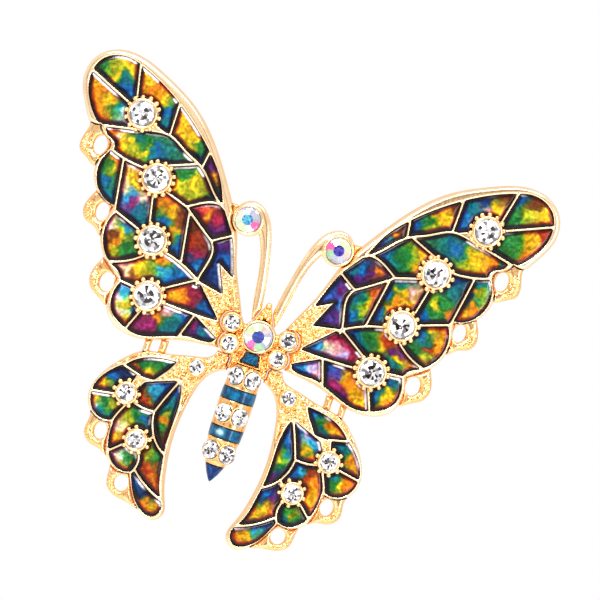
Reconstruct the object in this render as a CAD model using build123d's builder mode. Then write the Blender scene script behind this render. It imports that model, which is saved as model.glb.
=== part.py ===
"""Butterfly brooch: enamelled wings, set stones and a hinged pin with a rotating catch.

Millimetres.  +Z is up as the brooch is worn, its face looks along -Y and its back along +Y.
The origin is on the axis of the closed pin, half way across the brooch.
The right half (+X) is drawn and the left half is its mirror image.
"""
import os
from math import cos, radians, sin

from build123d import *

os.makedirs("parts", exist_ok=True)

# ---------------------------------------------------------------- driving dimensions
PIN_REACH = 4.6          # pin axis behind the face plane of the wings
WING_SWEEP = 6.0         # degrees that each wing leans back from the body
PLATE = 0.7              # closed back of the wings
ENAMEL = 0.62            # enamel depth in its cells
WALL_TOP = 0.85          # top of the rims and cell walls
ROOT_TOP = 0.55          # top of the granulated gold at the roots, knots and loops
LOOP_BACK = 0.45         # how far the loops and antennae reach behind the face plane
ANTENNA_DEPTH = 1.1      # thickness of an antenna
WALL = 0.32              # width of a cell wall
GAP = 0.02               # clearance between a filling and its metal

WING_STONE = 1.65        # stone radii
HIND_STONE = 1.15
ROOT_STONE = 1.0
THORAX_STONE = 1.05
ABDOMEN_STONE = 1.17
HEAD_STONE = 1.875
ANTENNA_STONE = 1.68
CUP_WALL = 0.35          # metal around a stone
CUP_TOP = 1.25
GIRDLE_AT = 1.0          # height of a wing stone's girdle
GRAIN = 0.32             # radius of the grains round the cups
GRAIN_FROM = 0.68        # just clear of the enamel
GRAIN_TOP = 1.2

HEAD_GIRDLE = 1.15
THORAX_GIRDLE = 1.1
BODY_CUP_TOP = 1.35
NECK_TOP = 1.15          # top of the crest and of the gold round the neck enamel
CREST_BALL = 0.42        # radius of the ball on the crest

ABDOMEN_DEPTH = 0.3      # abdomen axis in front of the face plane
BAND_DEPTH = 0.5         # enamel on the abdomen
BAND_BACK = 0.2          # where the enamel stops behind, in front of the face plane
STONE_TURN = 29.0        # degrees that each abdomen stone turns from straight ahead
STONE_REACH = 2.02       # abdomen stone's girdle from the abdomen axis
COLLAR_WALL = 0.17       # collar round an abdomen stone
COLLAR_RISE = 0.2        # collar above the girdle
COLLAR_DROP = 0.9        # collar below the girdle

RUNNING = 0.05           # radial clearance of the turning fits
FOOT = 0.6               # thickness of the soldered feet
FOOT_LENGTH = 5.0
FOOT_WIDTH = 3.4
SHANK_R = 0.4            # pin wire
SHOULDER_R = 0.56        # pin wire beside its eye
HINGE_X = -13.5
SHANK_START = -12.0
SHANK_END = 9.0          # the taper to the point starts here
PIN_TIP = 17.0
EYE_R = 0.95
EYE_BORE = 0.4
EYE_WIDTH = 1.2
LUG_R = 1.1
LUG = 0.5                # thickness of each hinge lug
RIVET_R = 0.35
RIVET_HEAD = 0.62
RIVET_HEAD_RISE = 0.25
CATCH_X = 13.5
COLLAR_R = 1.5
COLLAR_LENGTH = 1.6
COLLAR_MOUTH = 1.3       # opening that the pin drops through
SLEEVE_R = 1.1
SLEEVE_BORE = 0.55
SLEEVE_LENGTH = 2.6
FLANGE_R = 1.4
FLANGE = 0.45            # thickness of the sleeve's flanges and tab
TAB_TURN = -60           # degrees from the sleeve's slot to its thumb tab
THROUGH = 6.0            # deep enough to cut through any piece

HEAD = Vector(0, -PIN_REACH, 0)
BODY_FACE = Plane(origin=HEAD, x_dir=(1, 0, 0), z_dir=(0, -1, 0))
sweep_angle = radians(WING_SWEEP)
WING_FACE = Plane(
    origin=HEAD,
    x_dir=(cos(sweep_angle), sin(sweep_angle), 0),
    z_dir=(sin(sweep_angle), -cos(sweep_angle), 0),
)

# ---------------------------------------------------------------- outlines, right half
# Each outline is a chain of runs: one point is a straight run to it, more are a smooth run.
FOREWING = [
    [(3.0, 2.3)],
    [(3.9, 4.2), (5.5, 7.65), (7.1, 12.3), (9.0, 15.6), (11.9, 19.8), (16.9, 24.95),
     (21.8, 27.6), (26.4, 29.05), (29.6, 28.5), (31.55, 26.4), (31.85, 24.0), (30.8, 21.3),
     (29.5, 19.2)],
    [(28.4, 18.8), (27.7, 19.0)],
    [(26.7, 17.9), (25.8, 17.2), (25.85, 16.4), (26.3, 15.45)],
    [(26.75, 13.9), (26.2, 12.0), (25.1, 10.7), (22.9, 9.7)],
    [(23.3, 7.5), (23.15, 5.5), (22.35, 3.95), (21.9, 3.3)],
    [(20.7, 2.35), (19.3, 1.3)],
    [(19.75, -1.1), (19.15, -3.2), (17.5, -4.5), (15.2, -4.95), (12.3, -4.45), (9.9, -3.6),
     (7.5, -3.1), (4.4, -2.75)],
    [(3.0, 0.0)],
]
FOREWING_FIELD = [
    [(5.4, 6.3)],
    [(6.2, 8.75), (7.4, 11.4), (9.25, 13.9), (10.9, 17.2), (13.2, 20.0), (18.8, 24.6),
     (24.9, 27.7), (27.4, 28.2), (30.2, 26.8), (30.85, 24.85), (30.05, 21.75), (28.0, 19.25)],
    [(26.8, 18.75), (26.4, 18.15), (25.2, 17.5), (24.95, 16.75), (25.4, 16.3)],
    [(26.15, 14.45), (25.6, 11.85), (24.7, 10.75), (22.65, 9.95)],
    [(22.2, 9.0)],
    [(22.8, 7.3), (22.5, 5.25), (21.3, 3.45)],
    [(20.7, 2.85)],
    [(18.9, 1.65), (18.75, 0.9)],
    [(19.15, -0.75), (18.8, -2.35), (16.3, -4.1), (14.7, -4.5), (12.5, -4.05), (9.5, -3.0)],
    [(7.5, -2.6), (5.4, -2.3), (4.9, -1.75)],
]
FOREWING_ROOT = [
    (3.0, 6.3), (5.55, 6.2), (7.5, 7.3), (5.9, 3.75), (9.4, 4.45), (5.4, 0.5),
    (5.6, 0.2), (8.3, 0.1), (4.85, -1.7), (3.0, -1.8),
]
FOREWING_PLATE = [(19.0, 20.5), (20.7, 21.2), (21.4, 20.9), (22.0, 20.2)]
FOREWING_WALLS = [
    [(24.2, 23.2), (25.3, 28.1)],
    [(24.6, 22.6), (31.3, 25.5)],
    [(18.8, 20.4), (18.9, 25.0)],
    [(13.3, 20.1), (13.6, 17.9)],
    [(9.1, 13.9), (11.0, 15.3), (13.7, 18.0), (16.0, 19.1), (18.8, 20.5), (22.0, 20.15),
     (24.0, 19.75), (27.8, 19.0)],
    [(14.3, 18.2), (18.1, 16.7)],
    [(9.9, 14.35), (11.1, 14.2), (12.6, 13.5), (13.8, 12.75)],
    [(13.5, 12.6), (17.0, 13.7)],
    [(9.5, 9.65), (11.5, 11.0), (13.8, 12.7)],
    [(7.0, 11.2), (9.5, 9.65)],
    [(9.5, 9.65), (8.9, 8.4), (8.95, 7.2), (9.5, 4.4)],
    [(13.3, 12.3), (12.2, 5.7)],
    [(9.5, 4.4), (12.2, 5.75), (14.9, 6.5)],
    [(18.5, 13.3), (17.5, 8.7)],
    [(20.0, 15.6), (21.3, 15.65), (23.4, 15.95), (25.6, 16.7)],
    [(23.45, 16.05), (22.9, 12.6), (22.35, 9.3)],
    [(17.9, 7.8), (22.7, 9.5)],
    [(16.6, 5.6), (18.6, 4.0), (21.3, 3.0)],
    [(9.5, 4.5), (13.6, 1.9)],
    [(16.4, 1.0), (19.3, 1.3)],
    [(5.2, 0.3), (8.4, 0.25), (13.0, 0.4)],
    [(8.4, 0.3), (9.7, -3.5)],
    [(15.0, -1.2), (16.4, -4.7)],
]
FOREWING_STONES = [(22.9, 22.0), (18.5, 14.85), (16.5, 7.3), (14.75, 0.55)]
FOREWING_CELLS = {
    "tip": [(28.3, 26.2), (28.5, 22.5), (22.0, 24.8)],
    "leading": [(15.9, 20.8), (13.5, 15.5), (11.2, 17.0), (10.6, 12.0)],
    "outer": [(24.5, 18.0), (24.8, 13.5), (20.8, 11.5)],
    "middle": [(15.3, 10.6), (8.3, 8.6), (11.2, 7.6), (21.0, 6.5)],
    "lower": [(13.2, 4.0), (17.8, -1.8), (9.6, 2.0), (11.6, -2.2), (7.3, -1.5)],
}
FOREWING_LOOPS = [
    [(29.3, 19.4), (29.15, 18.3), (29.55, 16.7), (29.3, 15.3), (28.4, 14.7), (26.8, 13.9),
     (25.9, 15.6), (26.3, 18.0)],
    [(25.6, 11.0), (26.2, 9.7), (26.4, 8.2), (25.55, 7.0), (24.3, 6.55), (23.3, 5.7),
     (22.8, 7.4), (22.9, 9.7)],
    [(21.9, 3.4), (22.6, 1.9), (22.8, 0.3), (22.2, -0.85), (20.9, -1.65), (19.7, -2.3),
     (19.3, -0.4), (19.4, 1.4)],
]
FOREWING_LOOP_HOLES = [(26.95, 16.65, 0.85, 1.2), (23.95, 8.75, 0.8, 1.15), (20.5, 0.55, 0.9, 1.2)]
ANTENNA_KNOT = [(7.2, 12.0), (7.2, 15.0), (8.6, 15.1), (9.1, 14.6), (8.2, 12.6)]

HINDWING = [
    [(2.45, -3.0)],
    [(4.35, -3.0)],
    [(4.8, -3.9), (7.2, -4.75), (10.2, -5.5), (13.3, -6.15), (15.3, -7.75), (17.6, -10.9),
     (18.15, -13.2), (17.2, -15.4)],
    [(16.0, -16.1), (14.2, -16.1)],
    [(14.1, -17.5), (13.5, -20.0), (11.9, -21.35), (9.9, -21.35)],
    [(8.9, -23.3), (7.4, -25.2), (5.4, -25.95), (4.2, -24.7), (4.65, -22.8), (5.6, -19.5),
     (6.1, -15.5), (5.75, -10.4), (4.4, -6.4), (2.45, -5.0)],
]
HINDWING_FIELD = [
    [(8.7, -6.1)],
    [(10.6, -6.3), (12.6, -6.9), (14.5, -8.3)],
    [(16.2, -9.7), (17.75, -12.6), (16.6, -15.35), (14.5, -15.75)],
    [(13.75, -15.3)],
    [(13.85, -17.2), (13.0, -19.75), (11.7, -21.0), (9.7, -20.95)],
    [(9.0, -22.6), (6.9, -25.1), (5.4, -25.35), (4.55, -24.2), (5.3, -22.4), (6.2, -19.2),
     (6.6, -16.3), (6.65, -11.5), (7.15, -8.7)],
]
HINDWING_ROOT = [
    (6.5, -8.4), (8.1, -8.4), (10.7, -9.4), (11.6, -9.8), (12.3, -11.0), (13.4, -10.9),
    (12.9, -9.2), (10.7, -9.15), (9.3, -7.3), (8.65, -6.1),
]
HINDWING_WALLS = [
    [(12.4, -9.2), (14.9, -8.6)],
    [(14.4, -12.3), (18.0, -12.95)],
    [(7.5, -8.3), (8.7, -11.2), (9.3, -12.85)],
    [(9.3, -12.85), (10.9, -12.9), (12.7, -12.4)],
    [(12.6, -12.6), (13.5, -14.2), (14.1, -15.9)],
    [(9.3, -12.85), (8.8, -15.0), (7.8, -16.5), (6.2, -17.6)],
    [(8.3, -15.9), (9.4, -16.6)],
    [(11.3, -17.6), (13.5, -19.6)],
    [(9.8, -17.9), (9.2, -19.5), (9.75, -21.2)],
    [(9.4, -20.4), (7.3, -22.0), (4.8, -23.1)],
]
HINDWING_STONES = [(13.35, -11.8), (10.25, -16.95)]
HINDWING_CELLS = {
    "upper": [(11.9, -7.9), (16.0, -10.8), (15.6, -14.2), (9.8, -11.6)],
    "middle": [(7.7, -12.5), (12.6, -16.0)],
    "lower": [(10.9, -19.9), (7.6, -19.4), (7.0, -23.6)],
}
HINDWING_LOOPS = [
    [(17.3, -15.2), (17.05, -16.6), (17.1, -18.2), (16.0, -19.35), (14.4, -19.7), (13.3, -20.2),
     (13.9, -17.5), (14.6, -15.9)],
    [(12.6, -20.9), (12.45, -22.4), (12.1, -23.7), (10.6, -24.6), (8.9, -24.85), (7.5, -25.2),
     (8.9, -22.9), (10.3, -21.0)],
]
HINDWING_LOOP_HOLES = [(15.1, -17.4, 0.8, 1.05), (10.45, -22.75, 0.9, 1.0)]
HINDWING_POSTS = [(11.0, 1.0), (13.0, 0.9)]
HINDWING_ROOT_STONE = (5.95, -5.85)

ANTENNA = [
    [(0.75, 1.7)],
    [(0.85, 4.5), (1.45, 8.2), (2.35, 12.1), (4.3, 15.55), (5.9, 16.15), (7.3, 15.5), (7.85, 14.1),
     (7.5, 12.8)],
    [(6.2, 13.2)],
    [(4.2, 12.35)],
    [(3.45, 10.9), (2.5, 7.1), (1.45, 1.7)],
]
ANTENNA_CUP = (5.85, 13.6)

HEAD_AT = (0.0, 0.2)
THORAX_AT = [(3.7, 0.9), (3.15, -1.7)]
CREST = [(-1.5, 1.6), (1.5, 1.6), (0.35, 4.3), (-0.35, 4.3)]
THORAX = [
    (-3.2, 1.25), (-3.2, -2.6), (-2.43, -3.4), (-2.43, -4.7), (2.43, -4.7), (2.43, -3.4),
    (3.2, -2.6), (3.2, 1.25),
]
NECK = [(-1.1, -1.4), (-1.75, -4.3), (1.75, -4.3), (1.1, -1.4)]
NECK_ENAMEL = [(-0.8, -1.95), (-1.2, -3.45), (1.2, -3.45), (0.8, -1.95)]
ABDOMEN_SIDE = [
    (1.8, -3.75), (2.1, -5.0), (2.25, -9.5), (2.1, -13.2), (1.3, -16.6), (0.0, -18.9),
]
BANDS = {"upper": (-6.65, -8.3), "lower": (-11.65, -13.25), "tail": (-16.6, -19.2)}
ABDOMEN_STONES = {"upper": -5.2, "middle": -10.0, "lower": -14.85}


# ---------------------------------------------------------------- drawing helpers
def filled(*runs):
    """The face inside an outline of runs; it starts where the last run ends."""
    with BuildSketch() as face:
        with BuildLine():
            pen = runs[-1][-1]
            for run in runs:
                if len(run) == 1:
                    Line(pen, run[0])
                else:
                    Spline(pen, *run)
                pen = run[-1]
        make_face()
    return face.sketch


def blob(points):
    """The face inside one smooth closed curve."""
    with BuildSketch() as face:
        with BuildLine():
            Spline(*points, periodic=True)
        make_face()
    return face.sketch


def ribs(paths, width):
    """Strips of one width along straight or curved centre lines."""
    with BuildSketch() as strips:
        with BuildLine() as centres:
            for path in paths:
                if len(path) == 2:
                    Line(*path)
                else:
                    Spline(*path)
        trace(centres.edges(), line_width=width)
    return strips.sketch


def cells(field, walls, cups, root, plate, grow):
    """Enamel cells: the field less its walls, cups and solid gold, these grown by a clearance."""
    with BuildSketch() as openings:
        add(field)
        add(ribs(walls, WALL + 2 * grow), mode=Mode.SUBTRACT)
        for centre, radius in cups:
            with Locations(centre):
                Circle(radius + grow, mode=Mode.SUBTRACT)
        for patch in (root, plate):
            if patch:
                with BuildSketch(mode=Mode.SUBTRACT):
                    Polygon(*patch, align=None)
                    if grow:
                        offset(amount=grow)
    return openings.sketch


def seat(face, centre, lift):
    """The plane of a stone's girdle: on a face, at a centre, lifted above it."""
    return Plane(face.offset(lift).from_local_coords(centre), x_dir=face.x_dir, z_dir=face.z_dir)


def brilliant(girdle, radius):
    """A round point-backed stone: pavilion, girdle, crown and table."""
    upright = Plane(girdle.origin, x_dir=girdle.x_dir, z_dir=-girdle.y_dir)
    with BuildPart() as stone:
        with BuildSketch(upright):
            Polygon(
                (0, -0.72 * radius),
                (radius, 0),
                (radius, 0.06 * radius),
                (0.56 * radius, 0.34 * radius),
                (0, 0.34 * radius),
                align=None,
            )
        revolve(axis=Axis(girdle.origin, girdle.z_dir))
    return stone.part


def pocket(girdle, radius):
    """The hole that holds a stone: a bore at the girdle, a ledge below, and room for the point."""
    ledge = 0.8 * radius
    with BuildPart() as hole:
        with BuildSketch(girdle.offset(-0.14 * radius)):
            Circle(radius + GAP)
        extrude(amount=THROUGH / 2)
        with BuildSketch(girdle.offset(-0.78 * radius)):
            Circle(ledge)
        extrude(amount=0.7 * radius)
    return hole.part


# ---------------------------------------------------------------- what the wings butt against
with BuildSketch() as body_plan:
    with Locations(HEAD_AT):
        Circle(HEAD_STONE + CUP_WALL)
    for spot in THORAX_AT:
        for x in (spot[0], -spot[0]):
            with Locations((x, spot[1])):
                Circle(THORAX_STONE + CUP_WALL)
    Polygon(*CREST, align=None)
    Polygon(*THORAX, align=None)

with BuildPart() as body_room:
    with BuildSketch(BODY_FACE.offset(-THROUGH / 2)):
        add(body_plan.sketch)
        offset(amount=GAP)
    extrude(amount=THROUGH)

# ---------------------------------------------------------------- forewings
forewing_outline = filled(*FOREWING)
forewing_field = filled(*FOREWING_FIELD)
forewing_cups = [(spot, WING_STONE + CUP_WALL) for spot in FOREWING_STONES]
antenna_shape = filled(*ANTENNA)

with BuildSketch() as antenna_plan:
    add(antenna_shape)
    with Locations(ANTENNA_CUP):
        Circle(ANTENNA_STONE + CUP_WALL)

with BuildSketch() as forewing_loops:
    for points in FOREWING_LOOPS:
        add(blob(points))
    for x, y, half_width, half_height in FOREWING_LOOP_HOLES:
        with Locations((x, y)):
            Ellipse(half_width, half_height, mode=Mode.SUBTRACT)
    add(forewing_field, mode=Mode.SUBTRACT)

with BuildSketch() as knot_plan:
    Polygon(*ANTENNA_KNOT, align=None)
    add(antenna_plan.sketch, mode=Mode.SUBTRACT)

forewing_cells = cells(
    forewing_field, FOREWING_WALLS, forewing_cups, FOREWING_ROOT, FOREWING_PLATE, 0
)

with BuildPart() as antenna_room:
    with BuildSketch(WING_FACE.offset(-THROUGH / 2)):
        add(antenna_plan.sketch)
    extrude(amount=THROUGH)

with BuildPart() as forewing_frame:
    with BuildSketch(WING_FACE.offset(-PLATE)):
        add(forewing_outline)
    extrude(amount=PLATE)
    with BuildSketch(WING_FACE):
        add(forewing_outline)
        add(forewing_cells, mode=Mode.SUBTRACT)
        with BuildSketch(mode=Mode.SUBTRACT):
            Polygon(*FOREWING_ROOT, align=None)
    extrude(amount=WALL_TOP)
    with BuildSketch(WING_FACE):
        Polygon(*FOREWING_ROOT, align=None)
        add(forewing_outline, mode=Mode.INTERSECT)
    extrude(amount=ROOT_TOP)
    with BuildSketch(WING_FACE.offset(-LOOP_BACK)):
        add(forewing_loops.sketch)
        add(knot_plan.sketch)
    extrude(amount=LOOP_BACK + ROOT_TOP)
    with BuildSketch(WING_FACE):
        with Locations(*FOREWING_STONES):
            Circle(WING_STONE + CUP_WALL)
    extrude(amount=CUP_TOP)
    with BuildSketch(WING_FACE.offset(GRAIN_FROM)):
        with Locations(*FOREWING_STONES):
            with PolarLocations(WING_STONE + 0.5, 14):
                Circle(GRAIN)
    extrude(amount=GRAIN_TOP - GRAIN_FROM)
    for spot in FOREWING_STONES:
        add(pocket(seat(WING_FACE, spot, GIRDLE_AT), WING_STONE), mode=Mode.SUBTRACT)
    add(antenna_room.part, mode=Mode.SUBTRACT)
    add(body_room.part, mode=Mode.SUBTRACT)

# ---------------------------------------------------------------- hindwings
hindwing_outline = filled(*HINDWING)
hindwing_field = filled(*HINDWING_FIELD)
hindwing_cups = [(spot, HIND_STONE + CUP_WALL) for spot in HINDWING_STONES]

with BuildSketch() as hindwing_loops:
    for points in HINDWING_LOOPS:
        add(blob(points))
    for x, y, half_width, half_height in HINDWING_LOOP_HOLES:
        with Locations((x, y)):
            Ellipse(half_width, half_height, mode=Mode.SUBTRACT)
    add(hindwing_field, mode=Mode.SUBTRACT)

with BuildSketch() as posts_plan:
    for x, width in HINDWING_POSTS:
        with Locations((x, -5.2)):
            Rectangle(width, 2.4)
    add(forewing_outline, mode=Mode.SUBTRACT)
    add(hindwing_field, mode=Mode.SUBTRACT)

hindwing_cells = cells(hindwing_field, HINDWING_WALLS, hindwing_cups, HINDWING_ROOT, None, 0)

with BuildPart() as hindwing_frame:
    with BuildSketch(WING_FACE.offset(-PLATE)):
        add(hindwing_outline)
    extrude(amount=PLATE)
    with BuildSketch(WING_FACE):
        add(hindwing_outline)
        add(hindwing_cells, mode=Mode.SUBTRACT)
    extrude(amount=WALL_TOP)
    with BuildSketch(WING_FACE.offset(-LOOP_BACK)):
        add(hindwing_loops.sketch)
        add(posts_plan.sketch)
    extrude(amount=LOOP_BACK + ROOT_TOP)
    with BuildSketch(WING_FACE):
        with Locations(*HINDWING_STONES):
            Circle(HIND_STONE + CUP_WALL)
        with Locations(HINDWING_ROOT_STONE):
            Circle(ROOT_STONE + 0.25)
    extrude(amount=CUP_TOP)
    with BuildSketch(WING_FACE.offset(GRAIN_FROM)):
        with Locations(*HINDWING_STONES):
            with PolarLocations(HIND_STONE + 0.5, 9):
                Circle(GRAIN)
    extrude(amount=GRAIN_TOP - GRAIN_FROM)
    for spot in HINDWING_STONES:
        add(pocket(seat(WING_FACE, spot, GIRDLE_AT), HIND_STONE), mode=Mode.SUBTRACT)
    add(pocket(seat(WING_FACE, HINDWING_ROOT_STONE, GIRDLE_AT), ROOT_STONE), mode=Mode.SUBTRACT)
    add(body_room.part, mode=Mode.SUBTRACT)

# ---------------------------------------------------------------- antennae
antenna_seat = seat(WING_FACE, ANTENNA_CUP, GIRDLE_AT)
with BuildPart() as antenna:
    with BuildSketch(WING_FACE.offset(-LOOP_BACK)):
        add(antenna_plan.sketch)
    extrude(amount=ANTENNA_DEPTH)
    with BuildSketch(WING_FACE):
        with Locations(ANTENNA_CUP):
            Circle(ANTENNA_STONE + CUP_WALL)
    extrude(amount=CUP_TOP)
    add(pocket(antenna_seat, ANTENNA_STONE), mode=Mode.SUBTRACT)
    add(body_room.part, mode=Mode.SUBTRACT)

# ---------------------------------------------------------------- body casting
abdomen_axis = Axis(HEAD + Vector(0, -ABDOMEN_DEPTH, 0), (0, 0, 1))
abdomen_plane = BODY_FACE.offset(ABDOMEN_DEPTH)


def abdomen_solid(shrink):
    """The abdomen turned about its axis, with its side brought in by an amount."""
    side = [(x - shrink, y) for x, y in ABDOMEN_SIDE[:-1]]
    tip = (0.0, ABDOMEN_SIDE[-1][1] + 1.6 * shrink)
    with BuildPart() as turned:
        with BuildSketch(abdomen_plane):
            with BuildLine():
                Line((0, side[0][1]), side[0])
                Spline(*side, tip)
                Line(tip, (0, side[0][1]))
            make_face()
        revolve(axis=abdomen_axis)
    return turned.part


abdomen_full = abdomen_solid(0.0)
abdomen_core = abdomen_solid(BAND_DEPTH)


def band_ring(core, top, bottom, margin):
    """The front of the abdomen's skin, outside a core, between two heights."""
    with BuildPart() as ring:
        with BuildSketch(BODY_FACE.offset(BAND_BACK + margin)):
            with Locations((0, (top + bottom) / 2)):
                Rectangle(THROUGH, top - bottom - 2 * margin)
        extrude(amount=THROUGH)
        add(abdomen_full, mode=Mode.INTERSECT)
        add(core, mode=Mode.SUBTRACT)
    return ring.part


turn = radians(STONE_TURN)
outward = Vector(sin(turn), -cos(turn), 0)
stone_planes = {}
for level, height in ABDOMEN_STONES.items():
    girdle_centre = HEAD + Vector(0, -ABDOMEN_DEPTH, height) + outward * STONE_REACH
    stone_planes[level] = Plane(girdle_centre, x_dir=(cos(turn), sin(turn), 0), z_dir=outward)

with BuildPart() as collars:
    for plane in stone_planes.values():
        with BuildSketch(plane.offset(-COLLAR_DROP)):
            Circle(ABDOMEN_STONE + COLLAR_WALL)
        extrude(amount=COLLAR_DROP + COLLAR_RISE)
    mirror(about=Plane.YZ)

with BuildPart() as body_casting:
    add(abdomen_full)
    for top, bottom in BANDS.values():
        add(band_ring(abdomen_core, top, bottom, 0.0), mode=Mode.SUBTRACT)
    add(collars.part)
    with BuildSketch(BODY_FACE.offset(-PLATE)):
        add(body_plan.sketch)
    extrude(amount=PLATE + ROOT_TOP)
    with BuildSketch(BODY_FACE):
        Polygon(*CREST, align=None)
        Polygon(*NECK, align=None)
    extrude(amount=NECK_TOP)
    with Locations(BODY_FACE.offset(0.9).from_local_coords((0, CREST[2][1]))):
        Sphere(CREST_BALL)
    with BuildSketch(BODY_FACE):
        with Locations(HEAD_AT):
            Circle(HEAD_STONE + CUP_WALL)
        for spot in THORAX_AT:
            for x in (spot[0], -spot[0]):
                with Locations((x, spot[1])):
                    Circle(THORAX_STONE + CUP_WALL)
    extrude(amount=BODY_CUP_TOP)
    add(pocket(seat(BODY_FACE, HEAD_AT, HEAD_GIRDLE), HEAD_STONE), mode=Mode.SUBTRACT)
    for spot in THORAX_AT:
        for x in (spot[0], -spot[0]):
            thorax_seat = seat(BODY_FACE, (x, spot[1]), THORAX_GIRDLE)
            add(pocket(thorax_seat, THORAX_STONE), mode=Mode.SUBTRACT)
    for plane in stone_planes.values():
        add(pocket(plane, ABDOMEN_STONE), mode=Mode.SUBTRACT)
        add(pocket(plane, ABDOMEN_STONE).mirror(Plane.YZ), mode=Mode.SUBTRACT)
    with BuildSketch(BODY_FACE.offset(NECK_TOP - ENAMEL)):
        Polygon(*NECK_ENAMEL, align=None)
    extrude(amount=THROUGH, mode=Mode.SUBTRACT)
    with BuildSketch(BODY_FACE.offset(-PLATE)):
        with Locations((0, ABDOMEN_SIDE[-1][1] / 2)):
            Rectangle(2 * THROUGH, -2 * ABDOMEN_SIDE[-1][1])
    extrude(amount=-THROUGH, mode=Mode.SUBTRACT)
body_casting.part.label = "body_casting"
export_step(body_casting.part, "parts/body_casting.step")

# ---------------------------------------------------------------- body enamel
with BuildPart() as neck_enamel:
    with BuildSketch(BODY_FACE.offset(NECK_TOP - ENAMEL)):
        Polygon(*NECK_ENAMEL, align=None)
        offset(amount=-GAP)
    extrude(amount=ENAMEL)
neck_enamel.part.label = "neck_enamel"
export_step(neck_enamel.part, "parts/neck_enamel.step")

band_core = abdomen_solid(BAND_DEPTH - GAP)
for band, (top, bottom) in BANDS.items():
    with BuildPart() as band_enamel:
        add(band_ring(band_core, top, bottom, GAP))
    band_enamel.part.label = f"abdomen_enamel_{band}"
    export_step(band_enamel.part, f"parts/abdomen_enamel_{band}.step")


# ---------------------------------------------------------------- pairs of pieces
def write_pair(piece, name):
    """Write a right-hand piece and its mirror image."""
    with BuildPart() as right:
        add(piece)
    right.part.label = f"{name}_right"
    export_step(right.part, f"parts/{name}_right.step")
    with BuildPart() as left:
        mirror(piece, about=Plane.YZ)
    left.part.label = f"{name}_left"
    export_step(left.part, f"parts/{name}_left.step")


write_pair(forewing_frame.part, "forewing_frame")
write_pair(hindwing_frame.part, "hindwing_frame")
write_pair(antenna.part, "antenna")


def write_enamel(openings, groups, wing):
    """Fill the cells with enamel, one node for each named group of cells."""
    faces = openings.faces()
    for group, seeds in groups.items():
        with BuildPart() as enamel:
            with BuildSketch(WING_FACE.offset(GAP)):
                for seed in seeds:
                    add([face for face in faces if face.is_inside((*seed, 0))])
            extrude(amount=ENAMEL - GAP)
        write_pair(enamel.part, f"{wing}_enamel_{group}")


write_enamel(
    cells(forewing_field, FOREWING_WALLS, forewing_cups, FOREWING_ROOT, FOREWING_PLATE, GAP),
    FOREWING_CELLS,
    "forewing",
)
write_enamel(
    cells(hindwing_field, HINDWING_WALLS, hindwing_cups, HINDWING_ROOT, None, GAP),
    HINDWING_CELLS,
    "hindwing",
)

# ---------------------------------------------------------------- stones
for number, spot in enumerate(FOREWING_STONES, 1):
    write_pair(brilliant(seat(WING_FACE, spot, GIRDLE_AT), WING_STONE), f"forewing_stone_{number}")
for number, spot in enumerate(HINDWING_STONES, 1):
    write_pair(brilliant(seat(WING_FACE, spot, GIRDLE_AT), HIND_STONE), f"hindwing_stone_{number}")
write_pair(brilliant(seat(WING_FACE, HINDWING_ROOT_STONE, GIRDLE_AT), ROOT_STONE), "root_stone")
write_pair(brilliant(antenna_seat, ANTENNA_STONE), "antenna_stone")
for level, spot in zip(("upper", "lower"), THORAX_AT):
    thorax_stone = brilliant(seat(BODY_FACE, spot, THORAX_GIRDLE), THORAX_STONE)
    write_pair(thorax_stone, f"thorax_stone_{level}")
for level, plane in stone_planes.items():
    write_pair(brilliant(plane, ABDOMEN_STONE), f"abdomen_stone_{level}")

with BuildPart() as head_stone:
    add(brilliant(seat(BODY_FACE, HEAD_AT, HEAD_GIRDLE), HEAD_STONE))
head_stone.part.label = "head_stone"
export_step(head_stone.part, "parts/head_stone.step")

# ---------------------------------------------------------------- pin, hinge and catch
LEFT_FACE = Plane(
    origin=HEAD,
    x_dir=(cos(sweep_angle), -sin(sweep_angle), 0),
    z_dir=(-sin(sweep_angle), -cos(sweep_angle), 0),
)
FOOT_Y = -PIN_REACH + PLATE + CATCH_X * sin(sweep_angle) + FOOT / 2

with BuildPart() as hinge_base:
    with BuildSketch(LEFT_FACE.offset(-PLATE)):
        with Locations((HINGE_X, 0)):
            SlotOverall(FOOT_LENGTH, FOOT_WIDTH)
    extrude(amount=-FOOT)
    for side in (-1, 1):
        with BuildSketch(Plane.XY.offset(side * (EYE_WIDTH / 2 + RUNNING))):
            with Locations((HINGE_X, 0)):
                Circle(LUG_R)
            with Locations((HINGE_X, FOOT_Y / 2)):
                Rectangle(2 * LUG_R, -FOOT_Y)
            with Locations((HINGE_X, 0)):
                Circle(RIVET_R + GAP, mode=Mode.SUBTRACT)
        extrude(amount=side * LUG)
hinge_base.part.label = "hinge_base"
export_step(hinge_base.part, "parts/hinge_base.step")

RIVET_HALF = EYE_WIDTH / 2 + RUNNING + LUG + GAP
with BuildPart() as hinge_rivet:
    with BuildSketch(Plane.XY.offset(-RIVET_HALF)):
        with Locations((HINGE_X, 0)):
            Circle(RIVET_R)
    extrude(amount=2 * RIVET_HALF)
    for side in (-1, 1):
        with BuildSketch(Plane.XY.offset(side * RIVET_HALF)):
            with Locations((HINGE_X, 0)):
                Circle(RIVET_HEAD)
        extrude(amount=side * RIVET_HEAD_RISE, taper=20)
hinge_rivet.part.label = "hinge_rivet"
export_step(hinge_rivet.part, "parts/hinge_rivet.step")

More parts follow.
